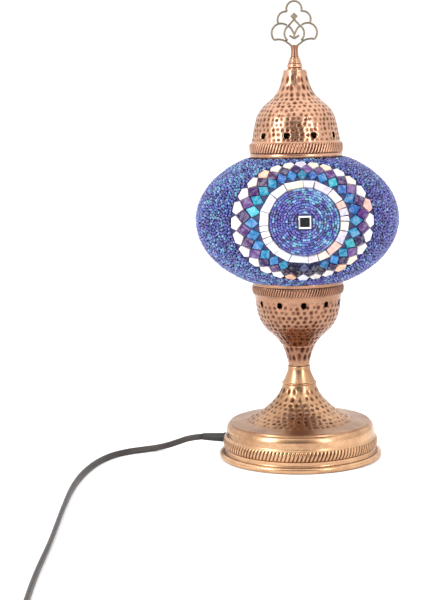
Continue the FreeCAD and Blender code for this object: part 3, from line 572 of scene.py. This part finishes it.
def cup_pieces():
    """The cup: hammered stem and bowl with vents, a rope band and the gallery above it."""
    stem = smooth_line(CUP_WALL, 0.66)
    groove = (stem[:, 1] > 96.0) & (stem[:, 1] < 97.2)
    stem[groove, 0] -= 0.5
    top = even_line([(36.6, 138.2), (36.9, 140.4), (37.8, 141.0), (37.8, 148.6), (38.4, 149.2),
                     (38.5, 152.0)], 0.9)
    line = np.concatenate([stem, top])
    keep = fading(line, 81.5, 136.5, 3.0)
    pressed = hammering(line, 380, pitch=4.9, row_pitch=4.2, size=2.05, seed=23, keep=keep)
    shell = pierced_shell("cup_hammered_shell", line, pressed, CUP_VENTS, "root", cup_copper)
    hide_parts("cup_shell")
    rope = [(37.0, 140.5), (38.4, 141.9), (39.0, 144.8), (38.7, 147.7), (37.9, 149.1)]
    rope_band("cup_rope_band", rope, inner_r=36.6, ribs=103, depth=0.9, body="root",
              metal=cup_copper)
    ledge = even_line([(35.9, 146.4), (33.4, 147.6), (33.4, 148.7), (37.5, 148.7), (37.4, 147.9)],
                      1.2)
    around = 180
    seat = turned_grid(ledge, around).reshape(-1, 3)
    copper_piece("cup_ledge", seat, grid_faces(len(ledge), around, True),
                 np.full(len(seat), 0.4), "root", cup_copper)


CAP_NECK = [(37.2, 268.6), (35.0, 280.4), (32.6, 289.2), (28.0, 296.8), (22.5, 301.8),
            (17.4, 306.6), (13.5, 312.9), (11.4, 319.4), (9.35, CAP_TOP)]


def cap_pieces():
    """The cap: plain collar, rope band, pierced hammered bowl, waist and open top."""
    collar = even_line([(38.1, CAP_BOTTOM), (38.8, 258.2), (38.0, 259.0), (38.0, 267.8),
                        (37.4, 268.4)], 0.9)
    bowl = smooth_line(CAP_NECK, 0.64)
    top = even_line([(9.2, CAP_TOP), (5.6, CAP_TOP)], 1.0)
    line = np.concatenate([collar, bowl, top])
    keep = fading(line, 268.9, 326.9, 1.5)
    pressed = hammering(line, 400, pitch=4.7, row_pitch=4.2, size=2.0, seed=37, keep=keep)
    shell = pierced_shell("cap_hammered_shell", line, pressed, CAP_VENTS, "cap", cap_copper)
    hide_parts("dome_shell")
    rope = [(38.0, 258.9), (39.0, 260.0), (39.3, 263.4), (39.1, 266.7), (37.9, 268.1)]
    rope_band("cap_rope_band", rope, inner_r=37.2, ribs=88, depth=1.0, body="cap",
              metal=cap_copper)


def turned_bar(name, line, around, patina_and_shade, node):
    """A solid turned piece of the cap, in place of the part's own one."""
    piece = copper_piece(name, turned_grid(line, around).reshape(-1, 3),
                         capped_faces(len(line), around), np.repeat(patina_and_shade, around), "cap",
                         cap_copper)
    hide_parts(node)


def finial_pieces():
    """The finial's ringed sleeve, and the waisted stem that carries its wire frame."""
    sleeve = smooth_line([(6.2, CAP_TOP + 0.05), (6.4, 328.1), (6.3, 328.7), (5.7, 329.1),
                          (5.6, 329.5), (6.1, 330.0), (6.3, 331.1), (6.0, 332.3), (5.4, 332.9),
                          (5.2, 333.1), (5.6, 333.5), (5.4, 334.0), (4.9, 334.2), (5.2, 334.6),
                          (5.0, 335.2), (4.6, 335.4), (4.9, 335.8), (4.7, 336.4), (4.2, 336.9),
                          (3.9, SLEEVE_TOP)], 0.25)
    # darker in the furrows, where it is narrower than its taper, and on the steepest flanks
    taper = 6.1 - (sleeve[:, 1] - 328) * 0.2
    furrow = np.clip((taper - sleeve[:, 0]) * 0.9 + 0.1, 0, 0.8)
    furrow = np.where(np.abs(np.gradient(sleeve[:, 0])) > 0.16, 0.6, furrow)
    turned_bar("finial_ringed_sleeve", sleeve, 72, furrow, "finial_sleeve")
    stem = smooth_line([(3.3, SLEEVE_TOP + 0.05), (3.0, 340.0), (2.8, 342.6), (2.9, 345.4),
                        (3.5, 348.2)], 0.4)
    turned_bar("finial_waisted_stem", stem, 48, np.full(len(stem), 0.45), "finial_stem")


def arc_points(x, z, radius, start, end):
    """Points along an arc in the finial's plane, from one direction to another in degrees."""
    count = max(4, round(abs(end - start) / 9))
    turns = [math.radians(start + (end - start) * k / count) for k in range(count + 1)]
    return [(x + radius * math.cos(a), z + radius * math.sin(a)) for a in turns]


WIRE_R = 0.84


def trefoil_wire():
    """The finial's frame of round wire, the same bends as the part's flat one."""
    half = [
        arc_points(7.0, 369.1, 6.7, -28.0, 98.0),
        arc_points(10.9, 358.2, 7.9, -45.0, 128.0),
        [(16.5, 352.6), (14.6, 353.2), (12.6, 353.1), (10.0, 352.7), (7.6, 351.7), (4.6, 349.4),
         (2.6, 347.8)],
        arc_points(0.9, 357.7, 7.3, -50.0, 55.0),
        [(5.1, 363.7), (0.0, 369.1)],
        [(5.1, 363.7), (3.8, 363.1), (2.2, 361.3), (0.0, 356.9)],
        [(4.0, 356.1), (0.0, 353.4)],
    ]
    runs = [arc_points(0.0, 377.8, 6.3, -22.0, 202.0), [(0.0, 356.9), (0.0, 353.4)]]
    runs += half + [[(-x, z) for x, z in run] for run in half]
    piece = add_curve("finial_wire_frame", "POLY", [[(x, 0, z) for x, z in run] for run in runs])
    piece.data.bevel_depth = WIRE_R * MM
    piece.data.bevel_resolution = 4
    piece.data.use_fill_caps = True
    piece.data.materials.append(brass)
    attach(piece, "cap")
    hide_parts("finial_frame")
    bud = [(3.3, 371.7), (0.0, 374.9), (-3.3, 371.7), (0.0, 368.3)]
    corners = [(0, -1.5, 371.7), (0, 1.5, 371.7)] + [(x, 0, z) for x, z in bud]
    faces = [(side, 2 + k, 2 + (k + 1) % 4) if side else (side, 2 + (k + 1) % 4, 2 + k)
             for side in (0, 1) for k in range(4)]
    bead = add_mesh("finial_bud", corners, faces, brass, "cap", smooth=False)


# The globe's mosaic ---------------------------------------------------------------------------

def arc_length(reach, angle):
    """The way over the globe to an angle from its front, where its outline is a reach wide."""
    return reach * angle + (SKIN_A ** 2 - reach ** 2) * angle ** 3 / (6 * reach)


def on_globe(distance, bearing):
    """The place on the grout at a distance along it from the middle of a medallion in front.

    The bearing is in degrees from +X towards +Z, as in the part."""
    east, north = math.cos(math.radians(bearing)), math.sin(math.radians(bearing))
    reach = 1 / math.sqrt((east / SKIN_A) ** 2 + (north / SKIN_B) ** 2)
    angle = distance / reach
    for _ in range(4):
        angle += (distance - arc_length(reach, angle)) / reach
    side = reach * math.sin(angle)
    ahead, up = math.cos(angle), side * north / SKIN_B
    raised, level = math.sin(RAISED), math.cos(RAISED)
    return Vector((side * east, -SKIN_A * (ahead * level - up * raised),
                   GLOBE_Z + SKIN_B * (up * level + ahead * raised)))


def outward(place):
    """The direction square to the globe at a place on it."""
    return Vector((place.x / SKIN_A ** 2, place.y / SKIN_A ** 2,
                   (place.z - GLOBE_Z) / SKIN_B ** 2)).normalized()


def spin_z(degrees):
    return Matrix.Rotation(math.radians(degrees), 3, "Z")


def from_medallion(x, y, z):
    """How far places on the globe are from the nearest medallion's middle, along the glass."""
    best = np.full(np.shape(x), 1e9)
    raised, level = math.sin(RAISED), math.cos(RAISED)
    for degrees in MEDALLION_TURNS:
        turn = math.radians(degrees)
        front = (x * math.sin(turn) - y * math.cos(turn)) / SKIN_A
        side = x * math.cos(turn) + y * math.sin(turn)
        top = (z - GLOBE_Z) / SKIN_B
        ahead, up = front * level + top * raised, SKIN_B * (top * level - front * raised)
        away = np.hypot(side, up) + 1e-9
        reach = 1 / np.sqrt((side / away / SKIN_A) ** 2 + (up / away / SKIN_B) ** 2)
        angle = np.arctan2(away / reach, ahead)
        best = np.minimum(best, np.where(ahead > 0, arc_length(reach, angle), 1e9))
    return best


def tile_piece(name, tiles, material, node, bevel=0.28, drop=0.28):
    """Bevelled tiles as one piece, from (corners, colour, tilt) for each."""
    vertices, faces, colours = [], [], []
    for corners, colour, tilt in tiles:
        middle = sum(corners, Vector()) / len(corners)
        out = outward(middle)
        foot = max((c - middle).dot(out) for c in corners)
        flat = [c - out * (c - middle).dot(out) for c in corners]
        base = len(vertices)
        for height, inset in ((foot - 0.5, 0.0), (foot + TILE - drop, 0.0), (foot + TILE, bevel)):
            for corner in flat:
                from_middle = corner - middle
                shrink = 1 - inset / from_middle.length
                lean = tilt.dot(from_middle) if height > foot else 0.0
                vertices.append(middle + from_middle * shrink + out * (height + lean))
                colours.append(colour)
        faces += [tuple(base + v for v in face) for face in capped_faces(3, len(corners))]
    piece = add_mesh(name, vertices, faces, material, "root", smooth=False)
    paint_colour(piece, "glass_colour", colours)
    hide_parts(node)


def shrunk(corners, gap):
    """Corners (distance, bearing) drawn in to leave a joint between tiles."""
    middle_s = sum(s for s, _ in corners) / len(corners)
    middle_b = sum(b for _, b in corners) / len(corners)
    reach = max(abs(s - middle_s) for s, _ in corners)
    keep = 1 - gap / (2 * reach)
    return [(middle_s + keep * (s - middle_s), middle_b + keep * (b - middle_b))
            for s, b in corners]


def jittered(corners, rng, amount):
    """Corners moved a little, because the tiles are cut and set by hand."""
    return [(s + rng.uniform(-amount, amount),
             b + math.degrees(rng.uniform(-amount, amount) / s)) for s, b in corners]


def set_tiles(name, shapes, palette, node, seed):
    """Both medallions' tiles of one kind as one piece."""
    rng = random.Random(seed)
    tiles = []
    for degrees in MEDALLION_TURNS:
        turn = spin_z(degrees)
        for shape in shapes:
            corners = [turn @ on_globe(s, b) for s, b in jittered(shape, rng, 0.35)]
            lean = Vector([rng.uniform(-TILE_LEAN, TILE_LEAN) for _ in range(3)])
            middle_b = sum(b for _, b in shape) / len(shape)
            tiles.append((corners, palette(rng, middle_b), lean))
    tile_piece(name, tiles, tile_glass, node)


def shade(rng, colours, spread):
    """One of the colours, a little lighter or darker."""
    red, green, blue, _ = rng.choice(colours)
    factor = 1 + rng.uniform(-spread, spread)
    return (min(1, red * factor), min(1, green * factor), min(1, blue * factor), 1.0)


TEALS = srgbs((16, 116, 160), (26, 104, 160), (14, 132, 160), (38, 112, 172), (30, 84, 150),
              (20, 112, 148), (20, 150, 168))
# Darker teals for the medallions' lower edges: painted shade.
SHADED_TEALS = srgbs((20, 46, 84), (14, 80, 92), (18, 24, 50), (58, 70, 112), (22, 28, 60))
PURPLES = srgbs((58, 24, 84), (72, 32, 100), (40, 20, 72), (84, 52, 112), (62, 26, 80))
# Darker purples for the medallions' lower edges: painted shade.
SHADED_PURPLES = srgbs((22, 14, 44), (32, 18, 60), (16, 16, 40))
PEARLS = srgbs((216, 210, 210), (210, 199, 208), (214, 206, 192), (199, 193, 212),
               (221, 216, 219), (206, 210, 221))
WARM_PEARLS = srgbs((216, 173, 145), (219, 190, 169), (210, 169, 160))


def in_shaded_low_edge(bearing):
    """True near the lower edge of a medallion, where its teal and purple glass is painted darker as
    shade.
    """
    return 245.0 < bearing % 360.0 < 292.0


def diamond(ring, k, shift):
    step = 360.0 / DIAMONDS
    bearing = step * (k + shift)
    return shrunk([(ring - DIAMOND_HALF, bearing), (ring, bearing - step / 2),
                   (ring + DIAMOND_HALF, bearing), (ring, bearing + step / 2)], TILE_GAP)


def edge_tile(k):
    step = 360.0 / DIAMONDS
    blunt = MEDALLION_EDGE - 0.8
    return shrunk([(EDGE_RING - 5.8, step * k), (EDGE_RING, step * (k - 0.5)),
                   (blunt, step * (k - 0.3)), (blunt, step * (k + 0.3)),
                   (EDGE_RING, step * (k + 0.5))], TILE_GAP)


def white_tile(k):
    degrees = 360.0 / sum(WHITE_WIDTHS)
    start = degrees * sum(WHITE_WIDTHS[:k])
    end = start + degrees * WHITE_WIDTHS[k]
    inner, outer = WHITE_RING
    middle_s, middle_b = (inner + outer) / 2, (start + end) / 2
    half_s = (outer - inner - TILE_GAP) / 2
    half_b = (end - start) / 2 - math.degrees(TILE_GAP / 2 / middle_s)
    return [(middle_s - half_s, middle_b - half_b), (middle_s - half_s, middle_b + half_b),
            (middle_s + half_s, middle_b + half_b), (middle_s + half_s, middle_b - half_b)]


def medallion_tiles():
    def teal(rng, bearing):
        return shade(rng, SHADED_TEALS if in_shaded_low_edge(bearing) else TEALS, 0.16)

    def purple(rng, bearing):
        return shade(rng, SHADED_PURPLES if in_shaded_low_edge(bearing) else PURPLES, 0.2)

    def pearl(rng, bearing):
        return shade(rng, WARM_PEARLS if rng.random() < 0.24 else PEARLS, 0.05)

    around = range(DIAMONDS)
    teals = [diamond(TEAL_RING, k, 0.0) for k in around]
    purples = [diamond(PURPLE_RING, k, 0.5) for k in around]
    edges = [edge_tile(k) for k in around]
    whites = [white_tile(k) for k in range(len(WHITE_WIDTHS))]
    set_tiles("teal_diamonds", teals, teal, "teal_tiles", seed=5)
    set_tiles("purple_diamonds", purples, purple, "purple_tiles", seed=6)
    set_tiles("white_edge_tiles", edges, pearl, "outer_white_tiles", seed=7)
    set_tiles("white_ring_tiles", whites, pearl, "inner_white_tiles", seed=8)


def mirror_pieces():
    """A small square mirror with ground edges in the middle of each medallion."""
    half = MIRROR / 2
    corner = math.hypot(half, half)
    tiles = []
    for degrees in MEDALLION_TURNS:
        corners = [spin_z(degrees) @ on_globe(corner, -bearing) for bearing in (45, 135, 225, 315)]
        tiles.append((corners, (0.9, 0.9, 0.9, 1.0), Vector()))
    tile_piece("centre_mirrors", tiles, mirror, "mirror_tiles", bevel=1.7, drop=0.6)


BEAD_SIDES = 8
BEAD_HOLE = 0.36          # its radius
FIELD_BEAD_R = 1.06
DISC_BEAD_R = 1.04


def bead_profile(length, radius):
    """The section of a bead: outside from end to end with rounded lips, and back by the hole."""
    half = length / 2
    lip = min(0.32, radius - BEAD_HOLE)
    return [(-half, BEAD_HOLE + 0.08), (-half, radius - lip), (-half + lip * 0.6, radius),
            (half - lip * 0.6, radius), (half, radius - lip), (half, BEAD_HOLE + 0.08)]


def bead_piece(name, places, axes, lengths, colours, radius):
    """Many beads as one piece, each at a place and with its hole along an axis."""
    places, axes = np.asarray(places, float), np.asarray(axes, float)
    axes /= np.linalg.norm(axes, axis=1)[:, None]
    helper = np.where(np.abs(axes[:, 2:3]) < 0.8, [[0.0, 0.0, 1.0]], [[1.0, 0.0, 0.0]])
    first = np.cross(axes, helper)
    first /= np.linalg.norm(first, axis=1)[:, None]
    second = np.cross(axes, first)
    angle = np.arange(BEAD_SIDES) * TAU / BEAD_SIDES
    around = (first[:, None, :] * np.cos(angle)[None, :, None]
              + second[:, None, :] * np.sin(angle)[None, :, None])
    profiles = [bead_profile(length, radius) for length in lengths]
    rings = len(profiles[0])
    vertices = np.zeros((len(places), rings, BEAD_SIDES, 3))
    for i in range(rings):
        along = axes * np.array([profile[i][0] for profile in profiles])[:, None]
        vertices[:, i] = places[:, None, :] + along[:, None, :] + around * profiles[0][i][1]
    one = np.array(grid_faces(rings, BEAD_SIDES, True))
    size = rings * BEAD_SIDES
    faces = (one[None] + np.arange(len(places))[:, None, None] * size).reshape(-1, 4)
    piece = add_mesh(name, vertices.reshape(-1, 3), faces.tolist(), bead_glass, "root")
    paint_colour(piece, "glass_colour", np.repeat(np.asarray(colours), size, axis=0))
    return piece


BEAD_BLUES = srgbs((46, 57, 142), (57, 69, 157), (40, 51, 128), (72, 88, 167))
BEAD_VIOLETS = srgbs((77, 65, 149), (88, 73, 160), (64, 55, 133))
BEAD_SKIES = srgbs((79, 122, 175), (94, 137, 184), (68, 108, 167), (110, 155, 191))
BEAD_CYANS = srgbs((64, 135, 167), (81, 153, 176))
BEAD_NAVIES = srgbs((35, 37, 94), (40, 39, 103))


def bead_colour(rng, sky, violet):
    """A bead's colour, where sky and violet say how far the mix leans to each."""
    pick = rng.random()
    if pick < 0.13 * violet + 0.04:
        return shade(rng, BEAD_NAVIES, 0.2)
    if rng.random() < 0.58 * sky:
        return shade(rng, BEAD_CYANS if rng.random() < 0.3 else BEAD_SKIES, 0.18)
    if rng.random() < 0.55 * violet:
        return shade(rng, BEAD_VIOLETS, 0.2)
    return shade(rng, BEAD_BLUES, 0.25)


def scatter(spacing, tries, seed):
    """Places on the globe's beaded part, no two closer than the spacing."""
    rng = np.random.default_rng(seed)
    a, b = SKIN_A, SKIN_B
    u = rng.normal(size=(tries, 3))
    u /= np.linalg.norm(u, axis=1)[:, None]
    weight = np.sqrt((u[:, 0] ** 2 + u[:, 1] ** 2) * b ** 2 + u[:, 2] ** 2 * a ** 2)
    u = u[rng.random(tries) * weight.max() < weight]
    x, y, z = u[:, 0] * a, u[:, 1] * a, u[:, 2] * b + GLOBE_Z
    wide = np.hypot(x, y)
    limit = np.where(z > GLOBE_Z, UPPER_SKIN_R, LOWER_SKIN_R) + 1.2
    keep = (wide > limit) & (from_medallion(x, y, z) > MEDALLION_EDGE + 0.9)
    cells, chosen = {}, []
    for p in np.stack([x, y, z], axis=1)[keep]:
        cell = tuple(int(c) for c in np.floor(p / spacing))
        around = itertools.product(*(range(c - 1, c + 2) for c in cell))
        near = [q for other in around for q in cells.get(other, ())]
        if all(((p - q) ** 2).sum() >= spacing ** 2 for q in near):
            cells.setdefault(cell, []).append(p)
            chosen.append(p)
    return chosen


def wave(place, scale, seed):
    """A slow change from 0 to 1 over the globe."""
    x, y, z = place[0] * scale, place[1] * scale, place[2] * scale
    value = (math.sin(x + seed) + math.sin(1.3 * y + 2.1 * seed) + math.sin(1.7 * z + 0.7 * seed)
             + math.sin(0.8 * (x + z) + seed * 3.3)) / 4
    return min(1.0, max(0.0, 0.5 + 0.75 * value))


FIELD_PARTS = 5
FIELD_SPACING = 1.95
FIELD_TRIES = 400000


def bead_field():
    """The beads between the medallions, strewn close and every way up, in a few pieces."""
    rng = random.Random(41)
    parts = [[] for _ in range(FIELD_PARTS)]
    for place in scatter(FIELD_SPACING, FIELD_TRIES, 42):
        point = Vector(place.tolist())
        out = outward(point)
        side = out.cross(Vector((0, 0, 1))).normalized()
        up = side.cross(out)
        turn = rng.uniform(0, TAU)
        flat = side * math.cos(turn) + up * math.sin(turn)
        stands = rng.random() < 0.24
        axis = out + flat * rng.uniform(0, 0.5) if stands else flat + out * rng.uniform(-0.3, 0.3)
        point = point + out * rng.uniform(0.72, 1.0)
        lean = wave(point, 0.045, 2.0)
        # The mix leans to lighter sky and cyan beads on the left side and to more dark navy beads on
        # the right: painted light from the left.
        left = 0.5 - 0.5 * point.x / GLASS_A
        colour = bead_colour(rng, 0.2 + 0.75 * left * lean, 0.75 * (1 - left * 0.7))
        sector = int(FIELD_PARTS * (math.atan2(point.y, point.x) / TAU + 0.5)) % FIELD_PARTS
        parts[sector].append((point, axis, rng.uniform(1.5, 2.2), colour))
    for k, part in enumerate(parts):
        points, axes, lengths, colours = zip(*part)
        piece = bead_piece(f"field_beads_{k + 1}", points, axes, lengths, colours, FIELD_BEAD_R)
        if k == 0:
            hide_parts("bead_field")


FIRST_BEAD_RING = 7.6
BEAD_RING_STEP = 2.12
MIRROR_CLEAR = 6.4        # half of the square around each mirror that holds no beads


def bead_discs():
    """Rings of short tube beads laid round each mirror, out to the white ring."""
    rng = random.Random(57)
    points, axes, lengths, colours = [], [], [], []
    for degrees in MEDALLION_TURNS:
        turn = spin_z(degrees)
        ring = FIRST_BEAD_RING
        while ring < CENTRE_DISC:
            bearing = rng.uniform(0, 20)
            full = bearing + 360.0
            while bearing < full - 3.0:
                length = min(rng.uniform(1.7, 3.9), math.radians(full - bearing) * ring)
                middle = bearing + math.degrees(length / 2 / ring)
                wobble = rng.uniform(-0.15, 0.15)
                point = turn @ on_globe(ring + wobble, middle)
                ahead = turn @ on_globe(ring + wobble, middle + 2)
                aside = abs(ring * math.cos(math.radians(middle)))
                above = abs(ring * math.sin(math.radians(middle)))
                if ring >= 9.0 or max(aside, above) >= MIRROR_CLEAR:
                    lean = wave(point, 0.09, 5.0)
                    points.append(point + outward(point) * rng.uniform(0.72, 0.98))
                    axes.append(ahead - point)
                    lengths.append(length * 0.93)
                    colours.append(bead_colour(rng, 0.1 + 0.85 * lean, 0.65))
                bearing += math.degrees(length / ring)
            ring += BEAD_RING_STEP
    piece = bead_piece("medallion_beads", points, axes, lengths, colours, DISC_BEAD_R)
    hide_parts("bead_discs")


# The lead -------------------------------------------------------------------------------------

def coil_route():
    """The coil's turns, anticlockwise: three laps inwards on the table, three outwards above."""
    route = []
    steps = 16 * COIL_LAPS
    outer, middle, inner = COIL_RADII
    low, high = COIL_LEVELS
    laps = [0.0, 0.85, 1.15, 1.85, 2.15, 3.85, 4.15, 4.85, 5.15, 6.0]
    radii = [outer, outer, middle, middle, inner, inner, middle, middle, outer, outer]
    for k in range(steps + 1):
        lap = COIL_LAPS * k / steps
        turn = math.radians(COIL_START + COIL_SWEEP * k / steps)
        radius = float(np.interp(lap, laps, radii))
        level = float(np.interp(lap, [0.0, 0.2, 2.85, 3.15, 5.9, 6.0],
                                [4.0, low, low, high, high, 7.0]))
        route.append((COIL_AT[0] + radius * math.cos(turn), COIL_AT[1] + radius * math.sin(turn),
                      level))
    return route


def cord_line():
    """The lead's middle line, read from its NURBS spline."""
    route = LEAD_RUN + LEAD_LINK + coil_route() + LEAD_TAIL
    holder = add_curve("lead_line", "NURBS", [route])
    spline = holder.data.splines[0]
    spline.order_u = 3
    spline.use_endpoint_u = True
    spline.resolution_u = 6
    mesh = bpy.data.meshes.new_from_object(holder)
    line = np.array([tuple(v.co) for v in mesh.vertices])
    bpy.data.objects.remove(holder)
    return line


CORE_POINTS = 9           # round each core of the lead's outline


def twin_section():
    """The outline of a flat twin lead: two round cores side by side with a dip between them."""
    radius = CORD_THICK / 2
    apart = CORD_WIDE / 2 - radius
    section = []
    for side in (1, -1):
        for k in range(CORE_POINTS):
            turn = math.radians(-100 + 200 * k / (CORE_POINTS - 1)) + (0 if side > 0 else math.pi)
            section.append((side * apart + radius * math.cos(turn), radius * math.sin(turn)))
    return section


def lead_piece():
    """The flat twin lead, swept along its line and lying flat or on edge as it twists."""
    line = cord_line()
    steps = np.linalg.norm(np.diff(line, axis=0), axis=1)
    gone = np.concatenate([[0], np.cumsum(steps)])
    along = np.gradient(line, axis=0)
    along /= np.linalg.norm(along, axis=1)[:, None]
    level = np.cross(along, [0, 0, 1.0])
    level /= np.linalg.norm(level, axis=1)[:, None]
    upright = np.cross(level, along)
    # On edge nearly all the way, rolling a little to one side and the other: metres and degrees
    twist = np.interp(gone, [0, 0.03, 0.1, 0.16, 0.24, 0.34, 0.42, 0.52, 0.6],
                      [90, 84, 66, 70, 98, 106, 92, 82, 90])
    section = np.array(twin_section()) * MM
    turn = np.radians(twist)
    wide = level * np.cos(turn)[:, None] + upright * np.sin(turn)[:, None]
    tall = upright * np.cos(turn)[:, None] - level * np.sin(turn)[:, None]
    rings = (line[:, None] + wide[:, None] * section[None, :, :1]
             + tall[:, None] * section[None, :, 1:])
    around = len(section)
    piece = add_mesh("flat_twin_lead", rings.reshape(-1, 3) / MM, capped_faces(len(line), around),
                     stuff["cord_pvc"], "root")
    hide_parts("cord_run", "cord_link", "cord_coil", "cord_tail")


# The part's own nodes -------------------------------------------------------------------------

MADE_OF = [
    (stuff["cast_weight"], "ballast_disc"),
    (stuff["green_felt"], "felt_pad"),
    (stuff["black_rubber"], "cord_bush cord_tie"),
    (stuff["cord_pvc"], "inner_lead core_wires"),
    (stuff["black_plastic"], "plug_body switch_base switch_cover switch_rocker cord_grip"),
    (stuff["holder_plastic"], "holder_skirt holder_body"),
    (stuff["steatite"], "holder_insert bulb_filament"),
    (stuff["black_glass"], "bulb_insulator"),
    (stuff["grout"], "mosaic_bed bedding_ring"),
    (steel, "threaded_tube tube_nuts tube_washers grip_screws spring_clips switch_screws"),
    (nickel, "bulb_cap plug_pins"),
    (brass, "clip_rivets finial_nut finial_washer terminal_screws thread_shell centre_contact "
            "switch_contacts"),
    (solder, "bulb_tip"),
    (clear_glass, "glass_globe bulb_glass bulb_stem"),
]


def dress_nodes():
    """Give each node of the part that stays its material."""
    for material, nodes in MADE_OF:
        for node in nodes.split():
            piece = bpy.data.objects[node]
            if piece.material_slots:
                for place in piece.material_slots:
                    place.material = material
            else:
                piece.data.materials.append(material)


# Stage ----------------------------------------------------------------------------------------

CAMERA_AT = (0.0, -1.192, 0.2931)
CAMERA_DOWN = 7.51             # degrees
CAMERA_LEFT = 3.52
CAMERA_ROLL = 1.28
LENS = 84.7


def add_camera():
    down, left, roll = (math.radians(v) for v in (CAMERA_DOWN, CAMERA_LEFT, CAMERA_ROLL))
    ahead = Vector((-math.sin(left) * math.cos(down), math.cos(left) * math.cos(down),
                    -math.sin(down)))
    level = ahead.cross(Vector((0, 0, 1))).normalized()
    upright = level.cross(ahead)
    right = level * math.cos(roll) - upright * math.sin(roll)
    up = upright * math.cos(roll) + level * math.sin(roll)
    camera = put("camera", bpy.data.cameras.new("camera"))
    camera.data.lens = LENS
    camera.data.clip_start = 0.01
    camera.matrix_world = Matrix((right, up, -ahead)).transposed().to_4x4()
    camera.location = CAMERA_AT
    bpy.context.scene.camera = camera


def soft_light(name, place, width, height, power):
    """A tall soft lamp that faces the middle of the object."""
    data = bpy.data.lights.new(name, "AREA")
    data.shape = "RECTANGLE"
    data.size, data.size_y = width, height
    data.energy = power
    light = put(name, data)
    light.location = place
    light.rotation_euler = (Vector(LAMP_MIDDLE) - Vector(place)).to_track_quat("-Z", "Y").to_euler()


FLOOR_HALF = 60.0         # metres
LAMP_MIDDLE = (0, 0, 0.18)


def add_stage():
    """A pale floor, soft studio lights, and a bright room with a darker stretch to reflect."""
    mesh = bpy.data.meshes.new("floor")
    corners = [(x * FLOOR_HALF, y * FLOOR_HALF, 0) for x, y in ((-1, -1), (1, -1), (1, 1), (-1, 1))]
    mesh.from_pydata(corners, [], [(0, 1, 2, 3)])
    mesh.materials.append(new_material("floor", (0.97, 0.97, 0.97, 1.0), 0.9))
    put("floor", mesh)
    soft_light("left_window", (-0.9, -0.75, 0.6), 0.3, 0.9, 9)
    soft_light("right_window", (0.7, -0.9, 0.5), 0.16, 0.8, 5)
    world = bpy.data.worlds.new("studio")
    world.use_nodes = True
    nodes = Nodes(world)
    back = nodes.tree.nodes["Background"]
    split = nodes.add("ShaderNodeSeparateXYZ")
    nodes.join(nodes.add("ShaderNodeTexCoord").outputs["Generated"], split.inputs[0])
    behind = nodes.spread(split.outputs["Y"], -1.0, 1.0, 0.0, 1.0)
    nodes.join(nodes.ramp(behind, [(0.015, (0.035, 0.035, 0.035, 1)), (0.2, (1, 1, 1, 1))]),
               back.inputs["Color"])
    nodes.join(nodes.spread(split.outputs["Z"], 0.0, 1.0, 1.03, 1.75), back.inputs["Strength"])
    bpy.context.scene.world = world
    bpy.context.scene.view_settings.view_transform = "Standard"


add_camera()
add_stage()
lead_piece()
dress_nodes()
base_pieces()
cup_pieces()
cap_pieces()
finial_pieces()
trefoil_wire()
medallion_tiles()
mirror_pieces()
bead_discs()
bead_field()
